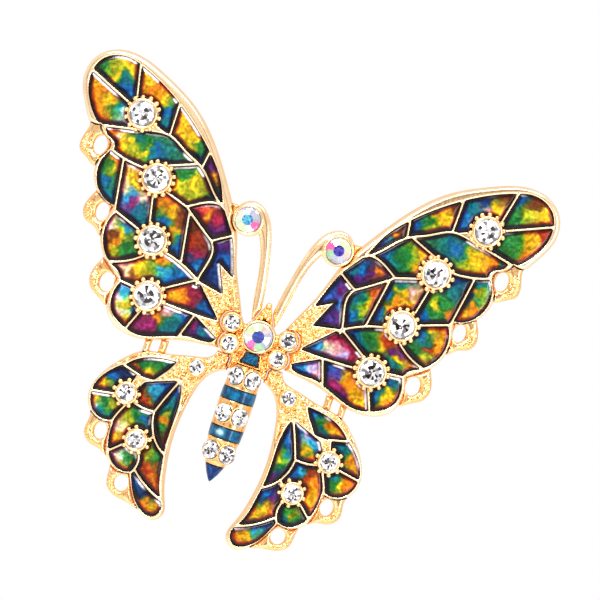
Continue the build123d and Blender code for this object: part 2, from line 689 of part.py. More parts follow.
with BuildPart() as pin_stem:
    with BuildSketch(Plane.XY.offset(-EYE_WIDTH / 2)):
        with Locations((HINGE_X, 0)):
            Circle(EYE_R)
    extrude(amount=EYE_WIDTH)
    with BuildSketch(Plane.XZ):
        with BuildLine():
            Polyline(
                (HINGE_X + 0.6, 0), (HINGE_X + 0.6, SHOULDER_R), (SHANK_START, SHOULDER_R),
                (SHANK_START, SHANK_R), (SHANK_END, SHANK_R), (PIN_TIP - 1.5, 0.22), (PIN_TIP, 0.03),
                (PIN_TIP, 0), (HINGE_X + 0.6, 0),
            )
        make_face()
    revolve(axis=Axis.X)
    with BuildSketch(Plane.XY.offset(-EYE_WIDTH)):
        with Locations((HINGE_X, 0)):
            Circle(EYE_BORE)
    extrude(amount=2 * EYE_WIDTH, mode=Mode.SUBTRACT)
pin_stem.part.label = "pin_stem"
export_step(pin_stem.part, "parts/pin_stem.step")

with BuildPart() as catch_base:
    with BuildSketch(WING_FACE.offset(-PLATE)):
        with Locations((CATCH_X, 0)):
            SlotOverall(FOOT_LENGTH, FOOT_WIDTH)
    extrude(amount=-FOOT)
    with BuildSketch(Plane.YZ.offset(CATCH_X - COLLAR_LENGTH / 2)):
        Circle(COLLAR_R)
        with Locations((FOOT_Y / 2, 0)):
            Rectangle(-FOOT_Y, 2 * LUG_R)
        Circle(SLEEVE_R + RUNNING, mode=Mode.SUBTRACT)
        with Locations((COLLAR_R, 0)):
            Rectangle(2 * COLLAR_R, COLLAR_MOUTH, mode=Mode.SUBTRACT)
    extrude(amount=COLLAR_LENGTH)
catch_base.part.label = "catch_base"
export_step(catch_base.part, "parts/catch_base.step")

SLEEVE_START = CATCH_X - SLEEVE_LENGTH / 2
with BuildPart() as catch_lock:
    with BuildSketch(Plane.YZ.offset(SLEEVE_START)):
        Circle(SLEEVE_R)
    extrude(amount=SLEEVE_LENGTH)
    for start in (SLEEVE_START, SLEEVE_START + SLEEVE_LENGTH - FLANGE):
        with BuildSketch(Plane.YZ.offset(start)):
            Circle(FLANGE_R)
        extrude(amount=FLANGE)
    with BuildSketch(Plane.YZ.offset(SLEEVE_START)):
        with Locations(Location((0, 0), TAB_TURN)):
            with Locations((FLANGE_R + 0.5, 0)):
                SlotOverall(2.0, 0.9)
    extrude(amount=FLANGE)
    with BuildSketch(Plane.YZ.offset(CATCH_X - THROUGH / 2)):
        Circle(SLEEVE_BORE)
        with Locations((THROUGH / 4, 0)):
            Rectangle(THROUGH / 2, 2 * SLEEVE_BORE)
    extrude(amount=THROUGH, mode=Mode.SUBTRACT)
catch_lock.part.label = "catch_lock"
export_step(catch_lock.part, "parts/catch_lock.step")
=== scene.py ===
"""Butterfly brooch: cast gold, iridescent enamel and crystals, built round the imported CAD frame.

Lengths are millimetres until a mesh is made.  The flat regions of the CAD nodes give the outlines
of every rim, wall and cell, and this script rounds, domes and grains them.
"""
import math
import random

import bpy
import numpy as np
from mathutils import Matrix, Vector, noise


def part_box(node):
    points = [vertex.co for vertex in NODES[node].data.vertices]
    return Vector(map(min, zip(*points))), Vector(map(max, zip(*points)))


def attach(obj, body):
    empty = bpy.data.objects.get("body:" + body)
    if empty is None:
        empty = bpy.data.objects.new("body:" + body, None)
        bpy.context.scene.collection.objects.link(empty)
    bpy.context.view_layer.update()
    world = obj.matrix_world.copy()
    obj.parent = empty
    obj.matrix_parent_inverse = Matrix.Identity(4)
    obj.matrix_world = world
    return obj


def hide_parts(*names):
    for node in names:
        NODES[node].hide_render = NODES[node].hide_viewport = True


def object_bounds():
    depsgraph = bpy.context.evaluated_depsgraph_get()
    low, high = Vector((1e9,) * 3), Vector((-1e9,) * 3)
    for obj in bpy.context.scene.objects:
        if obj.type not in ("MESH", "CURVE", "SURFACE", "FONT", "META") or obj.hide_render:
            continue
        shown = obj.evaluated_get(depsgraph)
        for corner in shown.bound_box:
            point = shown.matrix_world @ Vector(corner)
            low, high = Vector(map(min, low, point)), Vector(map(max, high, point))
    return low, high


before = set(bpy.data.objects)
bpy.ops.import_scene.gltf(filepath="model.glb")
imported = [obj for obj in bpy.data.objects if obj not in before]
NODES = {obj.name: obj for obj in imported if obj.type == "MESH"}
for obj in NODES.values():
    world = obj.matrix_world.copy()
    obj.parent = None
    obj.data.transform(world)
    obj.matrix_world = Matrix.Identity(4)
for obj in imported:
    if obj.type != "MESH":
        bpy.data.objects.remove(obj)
low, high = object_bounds()
MM = 0.001
BODY = "brooch"
SIDES = {"right": 1, "left": -1}

# levels of flat CAD faces above a face plane, in mm
BACK = -0.7
LOOP_BACK = -0.45
CELL_FLOOR = 0.0
ROOT_TOP = 0.55
CELL_TOP = 0.62
CREST_TOP = 1.15
# levels of the visual surfaces
RIM_MIDDLE = -0.3
LOOP_MIDDLE = -0.1
THORAX_MIDDLE = -0.35
FLOOR = 0.08
ENAMEL_EDGE = 0.5
WALL_EDGE = 0.56
WALL_TOP = 0.85
CUP_TOP = 1.24

# stone radii, in mm
FOREWING_STONE, HINDWING_STONE, ROOT_STONE = 1.65, 1.15, 1.0
HEAD_STONE, ANTENNA_STONE, THORAX_STONE, ABDOMEN_STONE = 1.875, 1.68, 1.05, 1.17
ABDOMEN_TURN = math.radians(29)     # how far an abdomen stone faces to its side

PITCH = 0.125
GRID_SHIFT = (0.0137, 0.0093)       # keeps the grid's lines off the outlines' corners
SAME_LEVEL = 0.004


# ------------ reading the CAD nodes
def triangles(node):
    """A CAD node's points, in mm, and the corners of its triangles."""
    mesh = NODES[node].data
    mesh.calc_loop_triangles()
    points = np.empty(len(mesh.vertices) * 3)
    mesh.vertices.foreach_get("co", points)
    corners = np.empty(len(mesh.loop_triangles) * 3, dtype=np.int64)
    mesh.loop_triangles.foreach_get("vertices", corners)
    return points.reshape(-1, 3) / MM, corners.reshape(-1, 3)


def wing_plane():
    """Normal and origin of the right wing's face plane, from the flat back of its frame."""
    points, corners = triangles("forewing_frame_right")
    a, b, c = (points[corners[:, k]] for k in range(3))
    cross = np.cross(b - a, c - a)
    size = np.linalg.norm(cross, axis=1)
    keep = size > 1e-9
    unit = cross[keep] / size[keep, None]
    facing_back = unit[:, 1] > 0.95
    normal = -(unit[facing_back] * size[keep][facing_back, None]).sum(0)
    normal /= np.linalg.norm(normal)
    back = (points @ normal).min()
    head_low, head_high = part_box("head_stone")
    head_z = (head_low.z + head_high.z) / 2 / MM - 0.2
    origin = np.array([0.0, (back - BACK) / normal[1], head_z])
    return normal, origin


NORMAL, ORIGIN = wing_plane()
ACROSS = np.array([-NORMAL[1], NORMAL[0], 0.0])
UP = np.array([0.0, 0.0, 1.0])
# the two face planes, each as its across and out directions
WING = (ACROSS, NORMAL)
FORWARD = np.array([0.0, -1.0, 0.0])
FRONT = (np.array([1.0, 0.0, 0.0]), FORWARD)


def to_local(points, side, plane=WING):
    """Points seen from the head: across, up and out of a face plane, with the left side mirrored."""
    away = points * np.array([side, 1, 1]) - ORIGIN
    return np.stack([away @ plane[0], away @ UP, away @ plane[1]], axis=-1)


def to_world(local, side, plane=WING):
    local = np.asarray(local, float)
    out = ORIGIN + local[..., 0:1] * plane[0] + local[..., 1:2] * UP + local[..., 2:3] * plane[1]
    return out * np.array([side, 1, 1])


def flat_parts(node, side, height, plane=WING):
    """Edges round each separate flat part of a node at one height, as (n, 2, 2) arrays."""
    points, corners = triangles(node)
    local = to_local(points, side, plane)
    keys = np.round(local[:, :2] * 2000).astype(np.int64)
    _, first, same = np.unique(keys, axis=0, return_index=True, return_inverse=True)
    flat = np.all(np.abs(local[:, 2][corners] - height) < SAME_LEVEL, axis=1)
    faces = same.reshape(-1)[corners[flat]]
    places = local[first][:, :2]
    parent = {}

    def root(i):
        while parent.setdefault(i, i) != i:
            parent[i] = parent[parent[i]]
            i = parent[i]
        return i

    for a, b, c in faces.tolist():
        parent[root(b)] = root(a)
        parent[root(c)] = root(a)
    uses = {}
    for a, b, c in faces.tolist():
        for edge in ((a, b), (b, c), (c, a)):
            key = (min(edge), max(edge))
            if key[0] != key[1]:
                uses[key] = uses.get(key, 0) + 1
    found = {}
    for (a, b), count in uses.items():
        if count % 2:
            found.setdefault(root(a), []).append((places[a], places[b]))
    return [np.array(edges) for edges in found.values() if len(edges) > 2]


# ------------ distance fields
class Grid:
    """A square grid over an outline, given as edges."""

    def __init__(self, edges, margin=0.4, pitch=PITCH):
        corner_low = edges.reshape(-1, 2).min(0) - margin
        corner_high = edges.reshape(-1, 2).max(0) + margin
        counts = ((corner_high - corner_low) / pitch).astype(int) + 2
        self.pitch = pitch
        self.xs = corner_low[0] + GRID_SHIFT[0] + np.arange(counts[0]) * pitch
        self.ys = corner_low[1] + GRID_SHIFT[1] + np.arange(counts[1]) * pitch
        self.shape = (len(self.ys), len(self.xs))

    def points(self):
        return np.meshgrid(self.xs, self.ys)

    def distance(self, edges, band=1.6):
        """Distance to the nearest edge, up to a band, and the nearest point."""
        dist = np.full(self.shape, band)
        near_x, near_y = self.points()
        for (ax, ay), (bx, by) in edges:
            i0 = max(int((min(ax, bx) - band - self.xs[0]) / self.pitch), 0)
            i1 = min(int((max(ax, bx) + band - self.xs[0]) / self.pitch) + 2, self.shape[1])
            j0 = max(int((min(ay, by) - band - self.ys[0]) / self.pitch), 0)
            j1 = min(int((max(ay, by) + band - self.ys[0]) / self.pitch) + 2, self.shape[0])
            if i1 <= i0 or j1 <= j0:
                continue
            dx, dy = bx - ax, by - ay
            x, y = self.xs[None, i0:i1], self.ys[j0:j1, None]
            along = np.clip(((x - ax) * dx + (y - ay) * dy) / max(dx * dx + dy * dy, 1e-12), 0, 1)
            qx, qy = ax + along * dx, ay + along * dy
            d = np.hypot(x - qx, y - qy)
            closer = d < dist[j0:j1, i0:i1]
            dist[j0:j1, i0:i1][closer] = d[closer]
            near_x[j0:j1, i0:i1][closer] = qx[closer]
            near_y[j0:j1, i0:i1][closer] = qy[closer]
        return dist, near_x, near_y

    def inside(self, edges):
        """Which grid points lie inside; a row that an outline crosses unevenly copies its neighbour."""
        flips = np.zeros((self.shape[0], self.shape[1] + 1), dtype=np.int64)
        for (ax, ay), (bx, by) in edges:
            if ay > by:
                ax, ay, bx, by = bx, by, ax, ay
            j0, j1 = np.searchsorted(self.ys, [ay, by])
            if j1 > j0:
                cross = ax + (self.ys[j0:j1] - ay) * (bx - ax) / (by - ay)
                column = np.clip(np.ceil((cross - self.xs[0]) / self.pitch), 0, self.shape[1])
                np.add.at(flips, (np.arange(j0, j1), column.astype(np.int64)), 1)
        crossed = np.cumsum(flips, axis=1)
        for row in np.flatnonzero(crossed[:, -1] % 2):
            crossed[row] = crossed[row - 1]
        return (crossed[:, :-1] % 2).astype(bool)


def grid_mesh(grid, mask, near_x, near_y):
    """Points and quads of a grid inside a mask, with its border moved onto the outline."""
    x, y = grid.points()
    padded = np.pad(mask, 1)
    beside = np.zeros_like(mask)
    for j in (0, 1, 2):
        for i in (0, 1, 2):
            beside |= padded[j:j + mask.shape[0], i:i + mask.shape[1]]
    border = beside & ~mask
    used = mask | border
    x = np.where(border, near_x, x)
    y = np.where(border, near_y, y)
    number = np.full(mask.shape, -1)
    number[used] = np.arange(used.sum())
    quad = np.stack([number[:-1, :-1], number[:-1, 1:], number[1:, 1:], number[1:, :-1]], -1).reshape(-1, 4)
    inner = np.stack([mask[:-1, :-1], mask[:-1, 1:], mask[1:, 1:], mask[1:, :-1]], -1).reshape(-1, 4)
    keep = (quad >= 0).all(1) & inner.any(1)
    return x[used], y[used], border[used], quad[keep], used


def dome(distance, radius):
    """0 at an edge rising round to 1 at a radius from it."""
    return np.sqrt(np.clip(1 - (1 - np.clip(distance / radius, 0, 1)) ** 2, 0, 1))


def ease(x, start, end):
    """0 before the start, 1 past the end, smooth between."""
    t = np.clip((x - start) / (end - start), 0, 1)
    return t * t * (3 - 2 * t)


def ripple(x, y, scale, seed):
    """Smooth noise about zero, with waves of about the scale's length."""
    values = [noise.noise(Vector((a / scale, b / scale, seed))) for a, b in zip(x.ravel(), y.ravel())]
    return np.array(values).reshape(x.shape)


GRAIN_JITTER = 0.22


def granules(grid, where, spacing, radius, rng):
    """Round grains scattered over part of a grid, as a height from 0 to 1."""
    x, y = grid.points()
    out = np.zeros(grid.shape)
    reach = int(radius / grid.pitch) + 1
    gx = np.arange(grid.xs[0], grid.xs[-1], spacing)
    gy = np.arange(grid.ys[0], grid.ys[-1], spacing)
    for row, cy in enumerate(gy):
        for cx in gx:
            px = cx + (row % 2) * spacing / 2 + rng.uniform(-GRAIN_JITTER, GRAIN_JITTER) * spacing
            py = cy + rng.uniform(-GRAIN_JITTER, GRAIN_JITTER) * spacing
            i, j = int((px - grid.xs[0]) / grid.pitch), int((py - grid.ys[0]) / grid.pitch)
            if not (0 <= i < grid.shape[1] and 0 <= j < grid.shape[0]) or not where[j, i]:
                continue
            i0, i1 = max(i - reach, 0), i + reach + 2
            j0, j1 = max(j - reach, 0), j + reach + 2
            size = radius * rng.uniform(0.75, 1.1)
            bump = np.clip(1 - ((x[j0:j1, i0:i1] - px) ** 2 + (y[j0:j1, i0:i1] - py) ** 2) / size ** 2, 0, 1)
            out[j0:j1, i0:i1] = np.maximum(out[j0:j1, i0:i1], np.sqrt(bump))
    return out


# ------------ making meshes
class Shell:
    """Points, faces and gold warmth gathered for one piece, in a face plane's local frame."""

    def __init__(self):
        self.points, self.faces, self.warmth, self.count = [], [], [], 0

    def add(self, points, faces, warmth=0.0):
        self.points.append(np.asarray(points, float))
        self.warmth.append(np.broadcast_to(warmth, len(points)))
        self.faces.extend((np.asarray(f) + self.count).tolist() for f in faces)
        self.count += len(points)

    def make(self, name, side, plane=WING):
        points = to_world(np.concatenate(self.points), side, plane)
        faces = self.faces if side > 0 else [f[::-1] for f in self.faces]
        mesh = bpy.data.meshes.new(name)
        mesh.from_pydata((points * MM).tolist(), [], faces)
        mesh.validate()
        mesh.polygons.foreach_set("use_smooth", [True] * len(mesh.polygons))
        piece = bpy.data.objects.new(name, mesh)
        bpy.context.scene.collection.objects.link(piece)
        return piece

    def make_gold(self, name, side, plane=WING):
        piece = self.make(name, side, plane)
        attribute(piece, "warmth", np.concatenate(self.warmth)[:, None].repeat(3, axis=1))
        return piece


def attribute(piece, name, values):
    """Store one colour for each vertex, for a material to read."""
    layer = piece.data.attributes.new(name, "FLOAT_COLOR", "POINT")
    full = np.ones((len(values), 4), np.float32)
    full[:, :3] = values
    layer.data.foreach_set("color", full.ravel())


def finish_piece(piece, look, replaced):
    piece.data.materials.append(look)
    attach(piece, BODY)
    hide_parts(replaced)


def lathe(profile, centre, count=40):
    """A turned surface about the local normal, from (radius, height) pairs."""
    points, faces = [], []
    for radius, height in profile:
        for k in range(count):
            turn = 2 * math.pi * k / count
            points.append((centre[0] + radius * math.cos(turn), centre[1] + radius * math.sin(turn), height))
    for ring in range(len(profile) - 1):
        for k in range(count):
            a, b = ring * count + k, ring * count + (k + 1) % count
            faces.append((a, b, b + count, a + count))
    return points, faces


def ball(centre, radius, height, rings=7, count=12):
    tilts = [math.pi * (k / rings - 0.5) for k in range(rings + 1)]
    profile = [(radius * math.cos(tilt), height + radius * math.sin(tilt)) for tilt in tilts]
    return lathe(profile, centre, count)


# ------------ materials
def set_inputs(node, **values):
    """Set a shader node's inputs, with _ for each space in an input's name."""
    for name, value in values.items():
        node.inputs[name.replace("_", " ")].default_value = value
    return node


def add_node(tree, kind, **values):
    return set_inputs(tree.nodes.new("ShaderNode" + kind), **values)


def link(tree, source, output, target, socket):
    tree.links.new(source.outputs[output], target.inputs[socket])


def material(name, colour, metallic, roughness, coat=0.0, coat_roughness=0.03):
    made = bpy.data.materials.new(name)
    made.use_nodes = True
    shader = made.node_tree.nodes["Principled BSDF"]
    set_inputs(shader, Base_Color=(*colour, 1), Metallic=metallic, Roughness=roughness)
    set_inputs(shader, Coat_Weight=coat, Coat_Roughness=coat_roughness)
    return made, made.node_tree, shader


def gold_material(name, pale, warm, roughness, grain_scale, bump, warmer=None):
    """Polished plate with a fine cast surface: warmer in faint patches, and where an attribute says so."""
    made, tree, shader = material(name, pale, 1.0, roughness)
    place = add_node(tree, "TexCoord")
    patches = add_node(tree, "TexNoise", Scale=900, Detail=3)
    link(tree, place, "Object", patches, "Vector")
    mixed = add_node(tree, "Math")
    mixed.operation = "MULTIPLY_ADD"
    mixed.inputs[1].default_value = 0.5
    link(tree, patches, "Fac", mixed, 0)
    if warmer:
        warmth = add_node(tree, "Attribute")
        warmth.attribute_name = warmer
        link(tree, warmth, "Fac", mixed, 2)
    ramp = add_node(tree, "ValToRGB")
    for element, position, colour in zip(ramp.color_ramp.elements, (0.20, 0.65), (pale, warm)):
        element.position = position
        element.color = (*colour, 1)
    link(tree, mixed, "Value", ramp, "Fac")
    link(tree, ramp, "Color", shader, "Base Color")
    grain = add_node(tree, "TexNoise", Scale=grain_scale)
    lift = add_node(tree, "Bump", Strength=bump, Distance=0.0001)
    link(tree, place, "Object", grain, "Vector")
    link(tree, grain, "Fac", lift, "Height")
    link(tree, lift, "Normal", shader, "Normal")
    return made


GOLD = gold_material("rose_gold", (1.0, 0.79, 0.53), (0.92, 0.53, 0.21), 0.17, 2200, 0.12, "warmth")
FINDING = gold_material("finding_gold", (0.95, 0.74, 0.46), (0.85, 0.60, 0.32), 0.2, 3000, 0.05)
STEEL, _, _ = material("pin_wire", (0.78, 0.76, 0.72), 1.0, 0.14)


def enamel_material(name, colours):
    """Glossy enamel over foil: colour from an attribute that also holds painted rim shade and highlights,
    fine flakes and a clear coat.
    """
    made, tree, shader = material(name, (0.05, 0.3, 0.4), 0.25, 0.35, coat=0.5, coat_roughness=0.04)
    set_inputs(shader, Specular_IOR_Level=0.1, Coat_IOR=1.36)
    colour_and_light = add_node(tree, "Attribute")
    colour_and_light.attribute_name = colours
    place = add_node(tree, "TexCoord")
    flakes = add_node(tree, "TexNoise", Scale=2600, Detail=2)
    spread = add_node(tree, "MapRange", From_Min=0.35, From_Max=0.68, To_Min=0.68, To_Max=1.34)
    scaled = add_node(tree, "VectorMath")
    scaled.operation = "SCALE"
    link(tree, place, "Object", flakes, "Vector")
    link(tree, flakes, "Fac", spread, "Value")
    link(tree, colour_and_light, "Color", scaled, 0)
    link(tree, spread, "Result", scaled, "Scale")
    link(tree, scaled, "Vector", shader, "Base Color")
    return made


WING_ENAMEL = enamel_material("wing_enamel", "colour_and_light")
CRYSTAL, crystal_tree, crystal_shader = material(
    "crystal", (0.9, 0.9, 0.92), 0.25, 0.06, coat=1.0, coat_roughness=0.0
)
# each facet's colour, which paints its reflections and the cup's shade
facet = add_node(crystal_tree, "Attribute")
facet.attribute_name = "tone"
link(crystal_tree, facet, "Color", crystal_shader, "Base Color")


# ------------ enamel colours, with painted shade and highlights
PALETTE = {
    "navy": (0.003, 0.02, 0.12), "blue": (0.002, 0.11, 0.36), "sky": (0.02, 0.33, 0.62),
    "teal": (0.002, 0.15, 0.19), "green": (0.01, 0.16, 0.03), "lime": (0.37, 0.38, 0.01),
    "yellow": (0.90, 0.53, 0.01), "gold": (0.74, 0.38, 0.006), "orange": (0.76, 0.22, 0.004),
    "red": (0.38, 0.03, 0.004), "brown": (0.14, 0.03, 0.004), "crimson": (0.26, 0.008, 0.04),
    "magenta": (0.30, 0.015, 0.14), "pink": (0.78, 0.36, 0.38), "purple": (0.08, 0.01, 0.14),
    "violet": (0.08, 0.06, 0.42), "lilac": (0.50, 0.42, 0.78), "cream": (0.95, 0.82, 0.48),
    "white": (0.95, 0.95, 0.92),
}
# near-black painted shade at the edges of the enamel, beside the gold
RIM_SHADE = np.array((0.002, 0.002, 0.004))
RIM_SHADE_RATE = np.array([1.6, 4.2, 2.4])       # how fast the painted shade toward a cell's rim takes up red, green and blue
SPOT_CORE, SPOT_EDGE = 0.12, 3.4            # a spot's even core, in mm, and how sharply it ends
GLOW = 0.72
# colour of the painted highlight streaks on the enamel
HIGHLIGHT_STREAK = np.array((0.80, 0.78, 0.88))
BAND = np.array([(0.001, 0.045, 0.12), (0.003, 0.14, 0.30)])
TAIL = np.array([(0.001, 0.012, 0.09), (0.003, 0.05, 0.24)])
GLINT = np.array((0.5, 0.85, 0.95))
LIGHT = np.array((0.45, 0.89))              # direction of the light, across and up: the painted highlights face it and the painted rim shade narrows toward it

# Spots of colour, one line for each cell: across, up and colour, in mm from the head stone.
FORE_RIGHT = """
25.6 27.2 blue, 25.6 24.6 green, 27.2 25.6 lime, 29.0 26.2 yellow, 29.8 25.6 gold, 27.5 28.0 brown
25.2 21.4 green, 26.6 21.6 green, 28.3 22.6 gold, 29.6 23.0 yellow, 30.3 23.6 red, 28.6 20.2 orange
19.4 23.0 blue, 20.2 24.4 teal, 21.8 25.8 navy, 22.3 24.4 pink, 23.4 25.2 yellow, 24.6 27.2 brown
14.0 19.6 blue, 15.4 21.0 green, 16.6 22.0 gold, 17.9 22.0 yellow, 18.2 23.8 brown, 16.2 19.7 lime
20.3 18.4 blue, 21.6 17.6 lime, 22.6 18.2 yellow, 24.2 17.8 gold, 25.2 18.4 orange, 26.6 18.6 green
24.4 15.5 teal, 24.3 14.4 yellow, 24.0 13.4 blue, 24.3 12.2 orange, 23.8 11.2 yellow, 25.5 12.8 lime
20.6 14.4 navy, 21.6 13.4 teal, 19.8 11.2 yellow, 20.6 11.9 green, 19.0 10.6 green, 21.0 10.2 green,\
18.6 9.0 blue, 21.8 10.4 orange
10.9 14.6 blue, 12.6 15.2 teal, 13.9 15.9 green, 15.2 16.4 lime, 16.4 16.6 yellow, 14.6 14.4 green,\
16.0 14.6 gold
10.4 15.6 sky, 11.2 16.6 sky, 12.0 17.8 yellow, 12.8 19.0 brown
8.4 11.6 teal, 9.6 12.4 blue, 10.8 12.4 purple, 11.4 12.6 orange, 12.4 12.9 purple, 9.8 10.9 purple
13.4 11.0 blue, 12.9 8.0 blue, 15.2 10.8 gold, 14.6 9.4 orange, 16.4 11.6 pink, 16.6 10.2 gold,\
14.6 12.4 teal
6.6 9.0 blue, 7.4 10.2 purple, 8.6 9.0 magenta, 8.2 7.6 sky, 8.0 8.4 violet, 9.0 6.0 purple
9.9 5.4 blue, 10.4 6.8 blue, 11.0 7.6 lime, 11.8 8.6 yellow, 12.3 9.8 orange, 12.6 10.8 red, 10.4 8.8 teal
19.3 7.3 blue, 20.6 8.2 yellow, 21.8 8.4 orange, 20.0 6.3 teal, 20.6 5.6 red, 21.4 6.0 orange,\
22.2 6.4 gold, 19.6 4.6 green, 20.4 4.0 lime
11.0 4.2 blue, 12.4 3.6 teal, 13.6 4.4 green, 14.6 4.6 gold, 15.6 5.4 red, 17.3 3.9 purple,\
17.5 3.0 yellow, 16.9 2.2 teal, 18.8 2.4 gold
17.4 0.3 blue, 18.4 0.6 teal, 17.5 -0.9 yellow, 18.5 -1.2 orange, 16.2 -2.2 blue, 17.4 -2.6 gold,\
16.9 -3.7 lime, 18.2 -2.6 orange
6.4 1.2 blue, 7.4 1.6 sky, 8.5 2.0 cream, 9.8 1.8 pink, 10.6 1.1 lilac, 11.8 1.2 crimson,\
11.4 2.4 crimson, 9.6 3.4 crimson
9.6 -0.6 blue, 10.6 -0.9 violet, 11.6 -1.2 gold, 11.0 -2.4 magenta, 12.6 -2.0 orange, 13.6 -2.8 gold,\
14.8 -3.8 yellow, 12.2 -3.4 purple
6.0 -0.6 blue, 6.8 -1.0 sky, 7.6 -1.3 lilac, 8.2 -1.6 pink, 7.2 -2.2 blue
"""
FORE_LEFT = """
26.0 26.8 yellow, 27.9 26.4 lime, 27.2 27.4 gold, 29.4 26.2 green, 25.9 24.6 blue, 27.6 25.4 yellow,\
26.4 25.4 teal
25.0 21.6 white, 25.8 22.2 teal, 27.4 22.4 gold, 29.2 22.8 orange, 30.0 24.0 gold, 28.4 20.4 orange
23.8 26.6 yellow, 22.2 25.6 orange, 21.0 24.6 yellow, 20.4 23.2 blue, 19.3 22.0 teal
17.6 23.2 yellow, 16.8 21.8 gold, 15.6 20.8 yellow, 14.8 20.0 green, 14.0 19.0 teal, 17.6 20.8 yellow
26.4 18.7 orange, 25.2 18.3 cream, 24.2 17.6 yellow, 23.0 18.3 gold, 22.6 17.2 lime, 21.6 18.9 green,\
21.2 17.8 yellow, 19.8 18.1 blue, 22.4 19.0 teal
24.6 15.6 orange, 24.0 14.6 gold, 24.4 13.6 lime, 24.7 12.9 blue, 23.8 11.4 teal, 25.4 14.4 green
22.0 12.4 cream, 21.0 13.8 yellow, 19.8 14.6 pink, 21.4 11.5 sky, 20.6 11.0 magenta, 19.0 9.6 teal,\
19.4 12.2 cream
11.0 14.6 teal, 12.6 15.2 lime, 14.0 15.8 yellow, 15.4 16.6 green, 14.8 14.2 lime, 16.2 15.0 yellow
10.4 15.6 blue, 11.4 17.0 yellow, 12.4 18.6 purple
8.4 11.6 purple, 9.8 12.2 crimson, 11.0 12.4 gold, 12.4 12.8 crimson, 9.8 10.8 purple
13.6 11.4 brown, 15.2 11.2 gold, 16.4 12.2 orange, 15.8 9.6 blue, 14.2 9.4 gold, 12.8 7.4 blue
7.2 10.2 purple, 8.8 9.2 purple, 6.4 8.6 blue, 8.4 7.2 blue, 9.0 5.6 navy
12.4 10.6 brown, 11.8 8.8 red, 11.0 7.4 crimson, 10.2 6.2 blue, 9.8 5.2 sky
20.0 8.0 sky, 20.6 7.2 yellow, 21.5 6.4 brown, 20.6 5.6 orange, 19.4 5.0 green, 22.3 7.2 white,\
21.2 4.0 lime
18.5 2.9 cream, 17.2 3.4 yellow, 15.8 3.8 lime, 14.2 4.2 sky, 12.4 3.8 blue, 11.0 4.2 blue,\
17.6 1.9 brown, 14.6 5.6 orange
17.9 0.4 sky, 18.4 -0.6 white, 17.3 -1.2 yellow, 16.2 -2.0 blue, 17.6 -2.8 cream, 16.8 -3.8 gold
6.2 1.2 blue, 7.6 1.8 blue, 9.3 2.9 crimson, 10.5 2.2 orange, 11.6 1.4 gold, 9.2 1.0 crimson
9.8 -0.8 blue, 10.8 -1.6 teal, 12.2 -0.4 pink, 12.4 -1.8 orange, 13.8 -3.0 magenta, 11.4 -3.0 teal
6.0 -0.6 blue, 7.0 -1.2 teal, 8.0 -1.4 magenta, 7.4 -2.2 purple
"""
HIND_RIGHT = """
9.5 -7.0 blue, 10.5 -8.0 green, 12.3 -7.7 orange, 13.6 -8.3 gold, 11.6 -8.8 teal
14.9 -9.4 teal, 15.8 -10.8 orange, 16.6 -11.6 gold, 15.2 -12.2 green, 17.2 -12.4 yellow
14.4 -13.6 teal, 14.6 -14.6 green, 15.4 -14.2 yellow, 16.5 -13.8 orange, 17.2 -13.6 red, 15.6 -15.4 lime
8.6 -9.2 blue, 9.6 -9.8 lilac, 10.6 -10.3 sky, 10.0 -11.5 gold, 11.2 -12.4 orange, 9.4 -12.2 teal,\
11.4 -11.0 blue
7.6 -9.6 blue, 7.9 -11.4 blue, 7.5 -13.4 lime, 7.9 -14.2 green, 7.2 -15.8 purple, 8.4 -14.6 blue
9.8 -14.2 blue, 10.8 -13.8 sky, 11.6 -14.4 red, 12.4 -15.4 orange, 12.7 -17.0 gold, 13.2 -18.4 yellow
10.2 -19.2 green, 11.0 -19.8 gold, 12.2 -20.0 green, 10.4 -20.4 teal
7.0 -17.8 blue, 8.0 -18.4 purple, 7.6 -19.8 yellow, 6.4 -20.4 gold, 8.8 -20.2 orange, 6.0 -19.0 teal
8.6 -21.6 blue, 7.4 -22.6 sky, 6.4 -23.6 gold, 5.6 -24.4 orange, 7.2 -24.2 gold
"""
HIND_LEFT = """
10.4 -7.0 green, 12.6 -7.4 green, 11.2 -8.6 yellow, 13.2 -8.6 orange, 9.5 -7.6 teal
14.8 -9.4 navy, 15.6 -10.6 blue, 16.4 -11.8 yellow, 17.2 -12.4 brown
16.8 -13.6 yellow, 15.6 -13.6 green, 14.6 -13.6 lime, 15.4 -15.0 teal, 16.6 -14.8 white
8.8 -9.4 blue, 10.2 -10.2 sky, 10.8 -11.6 red, 10.0 -12.2 orange, 11.2 -12.4 yellow, 9.2 -11.4 blue
7.6 -9.8 blue, 7.8 -11.6 teal, 7.6 -13.2 orange, 8.0 -14.2 green, 7.2 -15.8 brown
9.8 -14.2 blue, 11.0 -13.8 green, 12.2 -14.6 lime, 12.9 -16.0 cream, 13.0 -17.6 yellow, 13.4 -18.6 brown
11.4 -19.6 white, 12.4 -20.2 cream, 10.5 -19.6 green, 10.6 -20.6 yellow
8.2 -18.3 lime, 7.2 -18.4 green, 7.6 -20.0 red, 6.4 -20.6 orange, 8.8 -20.2 gold
8.3 -22.2 blue, 7.2 -22.8 navy, 6.8 -24.0 orange, 5.6 -24.4 gold
"""


def spots(text):
    """Each line's spots as an array of places and an array of colours."""
    lines = []
    for line in text.strip().splitlines():
        words = [spot.split() for spot in line.split(",")]
        lines.append((
            np.array([(float(w[0]), float(w[1])) for w in words]),
            np.array([PALETTE[w[2]] for w in words]),
        ))
    return lines


PAINT = {
    ("forewing", "right"): spots(FORE_RIGHT), ("forewing", "left"): spots(FORE_LEFT),
    ("hindwing", "right"): spots(HIND_RIGHT), ("hindwing", "left"): spots(HIND_LEFT),
}


